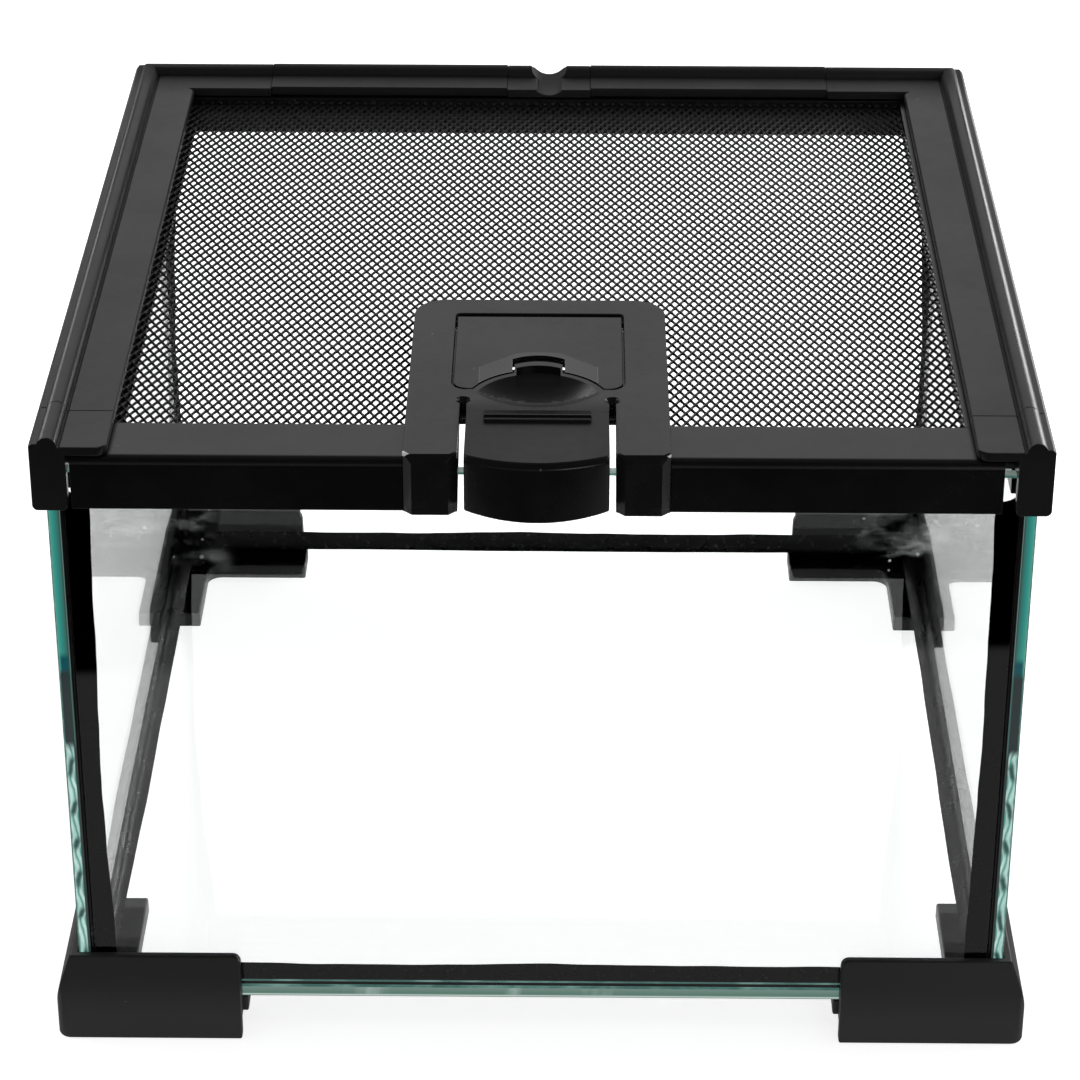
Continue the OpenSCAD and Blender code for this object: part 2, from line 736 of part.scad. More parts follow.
module latch_plate() {
    recess_x = notch_x - door_gap - recess_wall;
    rest_z = panel_z1 - door_t - rest_gap;
    plastic() translate([lid_shift, 0, 0]) difference() {
        union() {
            translate([0, 0, lid_z1]) linear_extrude(panel_t) panel_plan();
            // Legs in front of the bar
            translate([0, 0, panel_z1 - leg_drop]) linear_extrude(leg_drop - panel_t / 2) intersection() {
                panel_plan();
                translate([-panel_w, panel_y0]) square([2 * panel_w, panel_out]);
            }
            // Collar of the feeding port, with the body of the scoop in front of it
            translate([0, 0, collar_z]) linear_extrude(collar_h)
                translate([-collar_x, collar_y0 + seat_gap])
                    square([2 * collar_x, collar_y1 - collar_y0 - seat_gap]);
        }
        // Cut along the top front edge of the legs
        translate([0, panel_y0, panel_z1]) rotate([45, 0, 0])
            cube([2 * panel_w, sqrt(2) * leg_top_cut, sqrt(2) * leg_top_cut], center = true);
        // Feeding port, with the rest of the door
        translate([0, 0, rest_z]) linear_extrude(panel_z1 - rest_z + over)
            door_plan(door_gap, catch_inset);
        translate([0, 0, collar_z - over]) linear_extrude(panel_z1 - collar_z) port_plan();
        // Thumb scoop between two dishes
        intersection() {
            translate([0, rear_arc_y, 0]) dish(rear_arc_r);
            translate([0, front_arc_y, 0]) dish(front_arc_r);
        }
        // Finger recess in front of the catch
        translate([0, 0, panel_z1 - recess_h]) linear_extrude(recess_h + over) intersection() {
            arched_strip(recess_x, notch_y - catch_inset - catch_wall);
            translate([-recess_x, scoop_y1 - recess_l]) square([2 * recess_x, recess_l + notch_l]);
        }
        // Slots beside the tongue
        slots_below();
        for (s = [-1, 1]) translate([s * keyhole_x, slot_y, 0]) keyhole();
        // Bores of the hinge pins
        translate([-collar_x - over, hinge_y, hinge_z]) rotate([0, 90, 0])
            cylinder(r = pin_r + pin_gap, h = 2 * (collar_x + over));
    }
}

module latch_tongue() {
    front_y = face_y - tongue_out;
    face_r = arc_radius(tongue_x, tongue_bow);
    axis_y = front_y + face_r;
    z0 = panel_z1 - tongue_h;
    edge_r = arc_radius(tongue_x, edge_bow);
    deck_t = panel_t - 0.1;
    plastic() translate([lid_shift, 0, 0]) {
        difference() {
            intersection() {
                translate([0, axis_y, z0 - over]) union() {
                    cylinder(r = face_r, h = tongue_h + over - tongue_cut, $fn = 96);
                    translate([0, 0, tongue_h + over - tongue_cut])
                        cylinder(r1 = face_r, r2 = face_r - tongue_cut, h = tongue_cut, $fn = 96);
                }
                block([-tongue_x, front_y - over, z0 - over], [tongue_x, neck_y - root_gap, panel_z1]);
                translate([0, neck_y + over, z0 + edge_r]) rotate([90, 0, 0])
                    cylinder(r = edge_r, h = root_y + tongue_out + 3 * over, $fn = 96);
            }
            // Space behind the face and under the deck
            intersection() {
                translate([0, axis_y, z0 - 2 * over])
                    cylinder(r = face_r - tongue_t, h = tongue_h + 2 * over - deck_t, $fn = 96);
                block([-tongue_x - over, front_y, z0 - 2 * over], [tongue_x + over, neck_y + over, panel_z1]);
            }
        }
        // Catch behind the front pane's top edge
        block([-catch_w / 2, -in_d + catch_back, pane_top + catch_gap],
            [catch_w / 2, -in_d + catch_back + catch_t, panel_z1 - deck_t]);
        finger_rib();
    }
}

// Finger grip: a thin rib in front, a groove, and a rib that slopes down to the back
module finger_rib() {
    translate([-rib_l / 2, neck_y - rib_back - rib_w, panel_z1]) rotate([90, 0, 90]) linear_extrude(rib_l)
        polygon([
            [0, -grip_root], [0, rib_h], [ridge_t, rib_h], [ridge_t, groove_z],
            [ridge_t + groove_w, groove_z], [ridge_t + groove_w, rib_h],
            [rib_w, ramp_h], [rib_w, -grip_root]
        ]);
}

module feeding_door() {
    z0 = panel_z1 - door_t;
    ear = 3.5;
    plastic() translate([lid_shift, 0, 0]) {
        difference() {
            union() {
                translate([0, 0, z0]) linear_extrude(door_t) door_plan(0, 0);
                translate([0, 0, panel_z1 - door_t / 2]) linear_extrude(door_t / 2 + pad_h) intersection() {
                    door_plan(0, 0);
                    door_pad();
                }
                // Ears that carry the hinge pins
                for (s = [0, 1]) mirror([s, 0, 0]) translate([door_x - ear, hinge_y, hinge_z])
                    rotate([0, 90, 0]) cylinder(r = knuckle_r - 0.2, h = ear);
            }
            // The rear edge is rounded about the hinge
            difference() {
                block([-door_x - over, hinge_y, z0 - over], [door_x + over, door_y1 + over, panel_z1 + over]);
                translate([-door_x - 2 * over, hinge_y, hinge_z]) rotate([0, 90, 0])
                    cylinder(r = knuckle_r, h = door_w + 4 * over);
            }
        }
        for (s = [0, 1]) mirror([s, 0, 0]) translate([door_x - over, hinge_y, hinge_z])
            rotate([0, 90, 0]) cylinder(r = pin_r, h = over + door_gap + 0.8 * collar_t);
    }
}

// ---- All pieces ----

floor_pane();
cross_pane(-half_d);  // front_pane
cross_pane(in_d);  // back_pane
side_pane(-1);  // left_pane
side_pane(1);  // right_pane
silicone() corner_seal(pane_top - bead_drop);  // corner_seal_front_left
mirror([1, 0, 0]) silicone() corner_seal(pane_top - bead_drop);  // corner_seal_front_right
mirror([0, 1, 0]) silicone() corner_seal(rail_z0);  // corner_seal_rear_left
mirror([1, 0, 0]) mirror([0, 1, 0]) silicone() corner_seal(rail_z0);  // corner_seal_rear_right
floor_seal();
foot();  // foot_rear_right
mirror([1, 0, 0]) foot();  // foot_rear_left
mirror([0, 1, 0]) foot();  // foot_front_right
mirror([1, 0, 0]) mirror([0, 1, 0]) foot();  // foot_front_left
rail_left();
mirror([1, 0, 0]) rail_left();  // rail_right
front_corner();  // front_corner_left
mirror([1, 0, 0]) front_corner();  // front_corner_right
rear_rail_left();
mirror([1, 0, 0]) rear_rail_left();  // rear_rail_right
cable_port();
lid_front_bar();
lid_runner(-1);  // lid_left_runner
lid_runner(1);  // lid_right_runner
lid_rear_bar();
lid_mesh();
latch_plate();
latch_tongue();
feeding_door();
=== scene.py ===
import json
import math

import bmesh
import bpy
import numpy as np
from mathutils import Matrix, Vector

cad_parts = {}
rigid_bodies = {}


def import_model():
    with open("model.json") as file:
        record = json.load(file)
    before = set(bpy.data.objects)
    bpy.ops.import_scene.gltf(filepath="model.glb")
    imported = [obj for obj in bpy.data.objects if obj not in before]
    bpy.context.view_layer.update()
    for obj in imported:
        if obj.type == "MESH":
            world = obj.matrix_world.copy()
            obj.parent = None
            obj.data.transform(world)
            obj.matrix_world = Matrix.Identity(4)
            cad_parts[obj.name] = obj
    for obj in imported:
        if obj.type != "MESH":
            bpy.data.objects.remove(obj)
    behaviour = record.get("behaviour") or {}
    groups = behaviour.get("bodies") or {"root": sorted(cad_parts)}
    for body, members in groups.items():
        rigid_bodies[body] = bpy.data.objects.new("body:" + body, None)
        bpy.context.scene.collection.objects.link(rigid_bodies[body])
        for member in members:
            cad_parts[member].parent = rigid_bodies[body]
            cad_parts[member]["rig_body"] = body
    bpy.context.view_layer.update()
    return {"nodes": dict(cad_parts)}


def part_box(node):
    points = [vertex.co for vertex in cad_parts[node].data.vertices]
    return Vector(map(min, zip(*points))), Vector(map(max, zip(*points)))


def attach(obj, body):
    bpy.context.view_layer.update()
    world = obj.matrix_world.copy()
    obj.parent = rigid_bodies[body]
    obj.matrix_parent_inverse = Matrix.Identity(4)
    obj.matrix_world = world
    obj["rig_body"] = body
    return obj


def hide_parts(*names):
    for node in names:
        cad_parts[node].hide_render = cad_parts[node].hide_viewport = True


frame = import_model()
scene = bpy.context.scene
scene.view_settings.view_transform = "Standard"

MM = 0.001
SEED = 20


def box_mm(node):
    """Lowest and highest corner of a CAD node, in millimetres to three decimals."""
    return [[round(c / MM, 3) for c in corner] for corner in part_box(node)]


# The glass box, in millimetres: its half width inside and outside, the floor, the joint of two panes
INNER, HALF = (corner[0] for corner in box_mm("right_pane"))
PANE = HALF - INNER
FLOOR_TOP = box_mm("floor_pane")[1][2]
JOINT = INNER - box_mm("front_pane")[1][0]
# The lid's mesh. The lid rests a little to the left, by LID_SHIFT.
(MESH_LEFT, MESH_FRONT, MESH_Z0), (MESH_RIGHT, MESH_BACK, MESH_Z1) = box_mm("lid_mesh")
MESH_X = (MESH_RIGHT - MESH_LEFT) / 2
LID_SHIFT = (MESH_RIGHT + MESH_LEFT) / 2


# ---- Camera ----

# Its place in metres, its turns in degrees, and its focal length and film width in millimetres
EYE = (0.00518, -0.74531, 0.47991)
YAW, DOWN, ROLL = 0.432, 28.952, 0.148
FOCAL_LENGTH, FILM_WIDTH = 120.675, 36.0
LENS_SHIFT = (-0.00294, -0.00232)


def make_camera():
    camera = bpy.data.cameras.new("camera")
    camera.lens, camera.sensor_width = FOCAL_LENGTH, FILM_WIDTH
    camera.shift_x, camera.shift_y = LENS_SHIFT
    camera.clip_start, camera.clip_end = 0.01, 20.0
    stand = bpy.data.objects.new("camera", camera)
    stand.matrix_world = (
        Matrix.Translation(EYE)
        @ Matrix.Rotation(math.radians(YAW), 4, "Z")
        @ Matrix.Rotation(math.radians(90.0 - DOWN), 4, "X")
        @ Matrix.Rotation(math.radians(ROLL), 4, "Z")
    )
    scene.collection.objects.link(stand)
    scene.camera = stand


make_camera()


# ---- Shader wiring ----

# The colour sockets of a Mix node go by number, because their names repeat
MIX_LOW, MIX_HIGH, MIX_RESULT = 6, 7, 2


class Wire:
    """One socket of a node tree. Sums, differences and products of wires become Math nodes."""

    def __init__(self, tree, socket):
        self.tree = tree
        self.socket = socket

    def add(self, kind, sockets=(), out=0, stops=(), **settings):
        """Another node: its settings and ramp stops first, then the values or links of its sockets."""
        node = self.tree.nodes.new(kind)
        for key, value in settings.items():
            setattr(node, key, value)
        if stops:
            ramp = node.color_ramp
            while len(ramp.elements) < len(stops):
                ramp.elements.new(1.0)
            for element, (at, tone) in zip(ramp.elements, stops):
                element.position = at
                element.color = (*tone, 1.0)
        for key, value in dict(sockets).items():
            if isinstance(value, Wire):
                self.tree.links.new(value.socket, node.inputs[key])
            else:
                node.inputs[key].default_value = value
        return Wire(self.tree, node.outputs[out])

    def maths(self, operation, *values):
        return self.add("ShaderNodeMath", dict(enumerate((self, *values))), operation=operation)

    def __add__(self, other):
        return self.maths("ADD", other)

    def __sub__(self, other):
        return self.maths("SUBTRACT", other)

    def __rsub__(self, other):
        return self.maths("MULTIPLY_ADD", -1.0, other)

    def __mul__(self, other):
        return self.maths("MULTIPLY", other)

    def __truediv__(self, other):
        return self.maths("DIVIDE", other)

    __radd__ = __add__
    __rmul__ = __mul__

    def smooth(self, low, high, to_low=0.0, to_high=1.0):
        """Smooth step from to_low at low to to_high at high."""
        return self.add("ShaderNodeMapRange", {"Value": self, "From Min": low, "From Max": high,
                        "To Min": to_low, "To Max": to_high}, interpolation_type="SMOOTHSTEP")

    def noise(self, scale, detail=2.0, rough=0.5):
        return self.add("ShaderNodeTexNoise", {"Vector": self, "Scale": scale, "Detail": detail,
                        "Roughness": rough})

    def stretch(self, x, y, z):
        """The same coordinates with each axis multiplied."""
        return self.add("ShaderNodeVectorMath", {0: self, 1: (x, y, z)}, operation="MULTIPLY")

    def axis(self, name):
        return self.add("ShaderNodeSeparateXYZ", {0: self}, out=name)

    def mm(self, name):
        """One axis of a place, in millimetres."""
        return self.axis(name) * (1.0 / MM)

    def mix(self, low, high):
        """The colour low where this is 0 and high where it is 1."""
        low = (*low, 1.0) if isinstance(low, tuple) else low
        high = (*high, 1.0) if isinstance(high, tuple) else high
        return self.add("ShaderNodeMix", {0: self, MIX_LOW: low, MIX_HIGH: high}, out=MIX_RESULT,
                        data_type="RGBA")

    def is_result(self, kind="ShaderNodeOutputMaterial"):
        """Makes this shader the result of its tree."""
        end = self.tree.nodes.new(kind)
        self.tree.links.new(self.socket, end.inputs[0])


def new_finish(name):
    """An empty material, and the Object coordinates that its pattern reads."""
    finish = bpy.data.materials.new(name)
    finish.use_nodes = True
    tree = finish.node_tree
    tree.nodes.clear()
    place = Wire(tree, tree.nodes.new("ShaderNodeTexCoord").outputs["Object"])
    return finish, place


def surface(place, sockets):
    """Ends a material in a Principled shader."""
    place.add("ShaderNodeBsdfPrincipled", sockets).is_result()


# ---- Places on the latch panel, in millimetres ----

PANEL_TOP = box_mm("latch_plate")[1][2]
ROOT_Y = -84.5
# The scoop: an outline of two arcs that meet in points at both sides, and how deep each dish is
SCOOP_FRONT, SCOOP_LENGTH, SCOOP_HALF, DISH = ROOT_Y + 1.7, 15.4, 12.75, 4.0
SCOOP_REAR = SCOOP_FRONT + SCOOP_LENGTH
REAR_RISE = 0.56 * SCOOP_LENGTH
FRONT_RISE = SCOOP_LENGTH - REAR_RISE


def arc_radius(rise):
    """Radius of an arc over the scoop's width: (half width^2 + rise^2) / 2 rise."""
    return (SCOOP_HALF ** 2 + rise ** 2) / (2 * rise)


REAR_ARC_R, FRONT_ARC_R = arc_radius(REAR_RISE), arc_radius(FRONT_RISE)
REAR_ARC_Y, FRONT_ARC_Y = SCOOP_REAR - REAR_ARC_R, SCOOP_FRONT + FRONT_ARC_R


# ---- Finishes ----

def specks(place, scale, size, share):
    """Sparse round specks: 1 inside a speck. share is the part of the cells that has one."""
    cell = {"Vector": place, "Scale": scale}
    near = place.add("ShaderNodeTexVoronoi", cell)
    pick = place.add("ShaderNodeTexVoronoi", cell, out="Color").axis("X")
    return near.smooth(size, size * 0.4) * pick.smooth(1.0 - share - 0.02, 1.0 - share)


def moulded_plastic(name, tone, rough, grain=1.0, dust=0.06, relief=None, dull=None):
    """Satin black plastic: slow changes of gloss, a fine moulded grain, and a little dust.

    relief gives the height, in millimetres, of a form that is too soft to be modelled, and dull
    the roughness that is added at a place.
    """
    finish, place = new_finish(name)
    slow = place.noise(45.0, 3.0)
    fine = place.noise(1700.0, 2.0, 0.6)
    worn = place.noise(320.0, 4.0, 0.65)
    dot = specks(place, 210.0, 0.075, dust)
    colour = (slow * 0.7 + worn * 0.3).mix((tone * 0.8,) * 3, (tone * 1.25, tone * 1.25, tone * 1.22))
    colour = (dot * 0.35).mix(colour, (0.3, 0.3, 0.29))
    gloss = slow.smooth(0.3, 0.7, rough - 0.03, rough + 0.03) + worn.smooth(0.4, 0.75, 0.0, 0.04)
    if dull:
        gloss = gloss + dull(place)
    height = fine * 0.6 + worn * 0.4 + dot
    bump = place.add("ShaderNodeBump", {"Strength": 0.13 * grain, "Distance": 0.00012, "Height": height})
    if relief:
        bump = place.add("ShaderNodeBump", {"Strength": 1.0, "Distance": MM, "Height": relief(place),
                                            "Normal": bump})
    surface(place, {"Base Color": colour, "Roughness": gloss, "Normal": bump, "IOR": 1.5})
    return finish


def rolled_rim(place):
    """The panel sinks softly towards the front rim of the thumb scoop.

    d = distance outside the rim's arc, n = 1 - d / width kept between 0 and 1, height = -depth n^2.
    """
    width, depth = 2.2, 0.13
    x, y = place.mm("X") - LID_SHIFT, place.mm("Y") - FRONT_ARC_Y
    d = (x * x + y * y).maths("SQRT") - FRONT_ARC_R
    near = (1.0 - d / width).maths("MINIMUM", 1.0).maths("MAXIMUM", 0.0)
    return near * near * y.smooth(0.0, -4.0) * -depth


def dull_root(place):
    """Added roughness: the tongue's level top is duller than the panel, which dulls towards its root."""
    x, y = place.mm("X") - LID_SHIFT, place.mm("Y")
    level_top = (place.mm("Z") - PANEL_TOP).maths("ABSOLUTE").smooth(0.3, 0.1)
    in_width = x.maths("ABSOLUTE").smooth(17.0, 15.0)
    return y.smooth(ROOT_Y + 6.5, ROOT_Y + 0.5, 0.0, 0.2) * in_width * level_top


def dull_back(place):
    """Added roughness: the rear rail of the frame is duller than its sides."""
    return place.mm("Y").smooth(80.0, 100.0, 0.0, 0.32)


def clear_glass(name, smears=None):
    """Clear float glass. smears gives the share of a pale film of finger marks on it, which also glows a
    little as painted light.
    """
    finish, place = new_finish(name)
    bump = place.add("ShaderNodeBump", {"Strength": 0.02, "Distance": 0.0002,
                                        "Height": place.noise(14.0, 1.0)})
    glass = place.add("ShaderNodeBsdfPrincipled", {
        "Base Color": (0.985, 0.995, 0.992, 1.0), "Roughness": 0.0, "IOR": 1.5,
        "Transmission Weight": 1.0, "Normal": bump})
    if smears:
        # The film is real smudge plus a faint emission, which is painted light on the marks
        film = place.add("ShaderNodeBsdfPrincipled", {
            "Base Color": (0.85, 0.87, 0.87, 1.0), "Roughness": 0.7,
            "Emission Color": (0.34, 0.36, 0.36, 1.0), "Emission Strength": 1.0})
        glass = place.add("ShaderNodeMixShader", {0: smears(place), 1: glass, 2: film})
    glass.is_result()
    return finish


def finger_marks(place):
    """Smears and drops in the two upper outer corners of the front pane.

    Both limits of such a corner wander, the inner one by up to 14 mm and the lower one by 8 mm.
    """
    inner, outer, low = 70.0, 90.5, 116.0
    x, z = place.mm("X").maths("ABSOLUTE"), place.mm("Z")
    wander = place.noise(60.0, 2.0)
    corner = (x + wander * 14.0).smooth(inner, inner + 10.0) * (z + wander * 8.0).smooth(low, low + 8.0)
    corner = corner * x.smooth(outer, outer - 2.0)
    cloud = place.stretch(0.6, 1.0, 1.3).noise(120.0, 4.0, 0.6).smooth(0.5, 0.8)
    drops = specks(place, 260.0, 0.17, 0.16) + specks(place, 520.0, 0.2, 0.08)
    return (cloud * 0.34 + drops * 0.5).maths("MINIMUM", 0.8) * corner


def level(*rgb):
    """Linear colour of the given display levels, 0 to 255."""
    return tuple(((c / 255.0 + 0.055) / 1.055) ** 2.4 if c > 10 else c / 255.0 / 12.92 for c in rgb)


def lit_edge(place, colour, rough=0.12):
    """Ground glass edge in painted light: its colour glows, standing in for the light led through the
    pane.
    """
    surface(place, {"Base Color": (0.004, 0.012, 0.01, 1.0), "Roughness": rough, "IOR": 1.5,
                    "Emission Color": colour, "Emission Strength": 1.0})


def wall_edge():
    """Upright edge of a side pane, all in painted light: its glow, the pale arris as a painted highlight,
    and a painted image of the tank seen through the edge.

    Across the edge, u from the outer face: pale arris, teal, grey next to the silicone. Along it:
    clear teal above, a dark stretch in the middle, and below that light lenses parted by dark
    knots, where the edge shows the far side of the tank twisted like a rope. There t = z / spacing
    + noise counts the knots, which sit where t ends in a half, and v = u + 0.13 sin(2 pi t) swings
    two pale strands, round v = 0.2 and v = 0.6, across the edge.
    """
    knot_spacing, swing = 9.4, 0.13
    clear_foot, dark_top, dark_foot = 95.5, 93.0, 77.0
    finish, place = new_finish("wall_pane_edge")
    u = (HALF - place.mm("X").maths("ABSOLUTE")) / PANE
    z = place.mm("Z")
    wobble = place.stretch(1.0, 0.2, 0.5).noise(180.0, 3.0, 0.55)
    fibre = place.stretch(1.0, 1.0, 0.25).noise(900.0, 2.0, 0.6)
    teal = u.add("ShaderNodeValToRGB", {0: u}, stops=(
        (0.0, level(150, 192, 186)), (0.16, level(66, 148, 134)), (0.42, level(44, 130, 121)),
        (0.72, level(52, 96, 90)), (0.80, level(46, 60, 57)), (0.86, level(104, 132, 125)),
        (0.91, level(44, 48, 46))))
    rim = u.smooth(0.2, 0.1) + u.smooth(0.74, 0.82)
    grey = rim.mix(level(33, 38, 40), level(58, 92, 86))
    turn = z / knot_spacing + wobble * 0.9
    v = u + (turn * (2 * math.pi)).maths("SINE") * swing
    strands = (v - 0.2).maths("ABSOLUTE").smooth(0.24, 0.06)
    strands = strands + (v - 0.6).maths("ABSOLUTE").smooth(0.18, 0.04)
    rope = (strands * (fibre + 0.25)).mix(level(74, 140, 127), level(196, 226, 219))
    off_knot = (turn.maths("FRACT") - 0.5).maths("ABSOLUTE")
    knot = off_knot.smooth(0.32, 0.08) * (v - 0.42).maths("ABSOLUTE").smooth(0.34, 0.08)
    rope = (knot * 0.92).mix(rope, level(20, 62, 58))
    rope = u.smooth(0.66, 0.74).mix(rope, level(42, 52, 51))
    deep = u.smooth(0.1, 0.3) * u.smooth(0.85, 0.7)
    colour = (z.smooth(clear_foot, clear_foot - 2.0) * deep).mix(teal, level(2, 68, 78))
    colour = (z + wobble * 3.0).smooth(dark_top, dark_top - 2.0).mix(colour, grey)
    colour = (z + wobble * 8.0).smooth(dark_foot, dark_foot - 4.0).mix(colour, rope)
    lit_edge(place, colour)
    return finish


def flat_edge(name, colours):
    """Edge of a pane seen along its length, in painted light with soft streaks."""
    finish, place = new_finish(name)
    streak = place.stretch(1.0, 1.0, 3.0).noise(130.0, 3.0, 0.6)
    colour = streak.smooth(0.4, 0.7).mix(level(*colours[0]), level(*colours[1]))
    lit_edge(place, colour, 0.2)
    return finish


def floor_edge():
    """Edge of the floor pane in painted light: grey green with a painted highlight line near its foot, and
    paler streaks.
    """
    finish, place = new_finish("floor_pane_edge")
    drop = (FLOOR_TOP - place.mm("Z")) / PANE
    streak = place.stretch(1.0, 1.0, 0.3).noise(70.0, 4.0, 0.6)
    colour = drop.add("ShaderNodeValToRGB", {0: drop}, stops=(
        (0.0, level(112, 134, 127)), (0.6, level(84, 114, 102)), (0.72, level(96, 126, 114)),
        (0.79, level(206, 218, 213)), (0.88, level(80, 98, 92)), (1.0, level(72, 88, 83))))
    colour = (streak.smooth(0.55, 0.7) * 0.6).mix(colour, level(168, 186, 180))
    lit_edge(place, colour)
    return finish


def black_silicone():
    """Tooled silicone: black, half gloss, with shallow ripples and pale streaks on the side seals."""
    finish, place = new_finish("black_silicone")
    wave = place.noise(150.0, 3.0, 0.55)
    streak = place.stretch(1.0, 0.12, 1.0).noise(520.0, 3.0, 0.6)
    low = place.mm("Z").smooth(30.0, 20.0)
    colour = (streak.smooth(0.56, 0.72) * low * 0.7).mix((0.0025,) * 3, (0.085, 0.09, 0.085))
    bump = place.add("ShaderNodeBump", {"Strength": 0.3, "Distance": 0.0006,
                                        "Height": wave + streak * 0.25})
    surface(place, {"Base Color": colour, "Roughness": wave.smooth(0.3, 0.7, 0.24, 0.4),
                    "Normal": bump, "IOR": 1.42})
    return finish


def coated_mesh():
    """Dark coated mesh, a little lighter where it is rubbed."""
    finish, place = new_finish("coated_mesh")
    slow = place.noise(30.0, 3.0)
    fine = place.noise(900.0, 2.0)
    colour = (slow * 0.6 + fine * 0.4).mix((0.006, 0.006, 0.007), (0.015, 0.015, 0.016))
    bump = place.add("ShaderNodeBump", {"Strength": 0.15, "Distance": 0.0001, "Height": fine})
    surface(place, {"Base Color": colour, "Roughness": slow.smooth(0.3, 0.7, 0.42, 0.52), "Normal": bump})
    return finish


GLASS = clear_glass("clear_glass")
MARKED_GLASS = clear_glass("marked_glass", finger_marks)
WALL_EDGE = wall_edge()
TOP_EDGE = flat_edge("pane_top_edge", ((104, 118, 112), (150, 166, 160)))
ARRIS = flat_edge("pane_arris", ((62, 98, 92), (106, 142, 135)))
FLOOR_EDGE = floor_edge()
SILICONE = black_silicone()
FRAME = moulded_plastic("frame_plastic", 0.003, 0.30, dull=dull_back)
LID = moulded_plastic("lid_plastic", 0.0012, 0.22)
FOOT = moulded_plastic("foot_plastic", 0.0165, 0.42, 1.3)
LATCH = moulded_plastic("latch_plastic", 0.0018, 0.25, relief=rolled_rim, dull=dull_root)
TONGUE = moulded_plastic("tongue_plastic", 0.0018, 0.25, dust=0.03, dull=dull_root)
DOOR = moulded_plastic("door_plastic", 0.0018, 0.25)
PAD = moulded_plastic("door_pad_plastic", 0.045, 0.30)
# Painted highlight along the edges of the door's pad
PAD_EDGE_GLINT = moulded_plastic("door_pad_edge_painted_highlight", 0.2, 0.42)
# Painted highlight: a pale finish for the slants at the legs' outer corners, where a lamp would glint
GLINT = moulded_plastic("corner_painted_highlight_plastic", 0.75, 0.4)
MESH = coated_mesh()


# ---- Making pieces ----

def new_piece(name, mesh, finishes):
    """An object at the origin that holds a finished mesh."""
    mesh.name = name
    for finish in finishes:
        mesh.materials.append(finish)
    piece = bpy.data.objects.new(name, mesh)
    scene.collection.objects.link(piece)
    return piece


def stands_for(piece, node):
    """The piece rides with this CAD node's body and takes its place."""
    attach(piece, frame["nodes"][node]["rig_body"])
    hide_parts(node)
    return piece


def raw_mesh(points, faces):
    """A mesh from points in millimetres and lists of face corners."""
    mesh = bpy.data.meshes.new("piece")
    mesh.from_pydata((np.asarray(points, float) * MM).tolist(), [], [list(map(int, f)) for f in faces])
    return mesh


def closed_mesh(points, faces):
    """The same with coincident points merged and the faces turned outwards."""
    mesh = raw_mesh(points, faces)
    shape = bmesh.new()
    shape.from_mesh(mesh)
    bmesh.ops.remove_doubles(shape, verts=shape.verts, dist=1e-6)
    bmesh.ops.recalc_face_normals(shape, faces=shape.faces)
    shape.to_mesh(mesh)
    shape.free()
    return mesh


def smooth_faces(mesh):
    mesh.polygons.foreach_set("use_smooth", np.ones(len(mesh.polygons), bool))


def weigh_normals(piece):
    """Shading that keeps flat faces flat between their rounded edges."""
    piece.modifiers.new("weighted", "WEIGHTED_NORMAL").keep_sharp = True


# Turns in degrees: what counts as flat, the step from a level face to a hollow one, a crease in the
# shading, and a corner that gets rounded. Beads and the mesh have creases of their own.
FLAT, STEP, CREASE, CORNER = 0.4, 3.0, 35.0, 50
BEAD_CREASE, MESH_CREASE = 50.0, 60.0
ARC_SEGMENTS = 2
# Points of a CAD node that lie closer than this, in metres, are one point
SAME_POINT = 2e-6


def edge_middle(edge):
    return (edge.verts[0].co + edge.verts[1].co) / 2 / MM


def round_edges(shape, rules):
    """Turns convex edges into arcs and returns the faces of the arcs.

    Each rule is a test of an edge's middle, a turn in degrees and a width in millimetres. An edge
    follows the first rule whose test it meets: where it turns by more than that, it becomes an arc
    of that width.
    """
    earlier, arcs = [], set()
    for test, turn, width in rules:
        if width > 0:
            picked = [e for e in shape.edges if e.is_manifold and e.is_convex
                      and e.calc_face_angle(0.0) > math.radians(turn)
                      and not any(f in arcs for f in e.link_faces)
                      and test(*edge_middle(e))
                      and not any(t(*edge_middle(e)) for t in earlier)]
            made = bmesh.ops.bevel(shape, geom=picked, offset=width * MM, offset_type="OFFSET",
                                   segments=ARC_SEGMENTS, profile=0.5, affect="EDGES",
                                   clamp_overlap=False)
            arcs = {f for f in arcs if f.is_valid} | set(made["faces"])
        earlier.append(test)
    return arcs


def break_shading(shape, arcs):
    """Marks the creases, and the edges where a level face meets a hollow one."""
    for edge in shape.edges:
        if len(edge.link_faces) == 2:
            turn = math.degrees(edge.calc_face_angle(0.0))
            on_level = any(abs(f.normal.z) > 0.99999 for f in edge.link_faces)
            on_arc = any(f in arcs for f in edge.link_faces)
            edge.smooth = not (turn > CREASE or (on_level and turn > STEP and not on_arc))


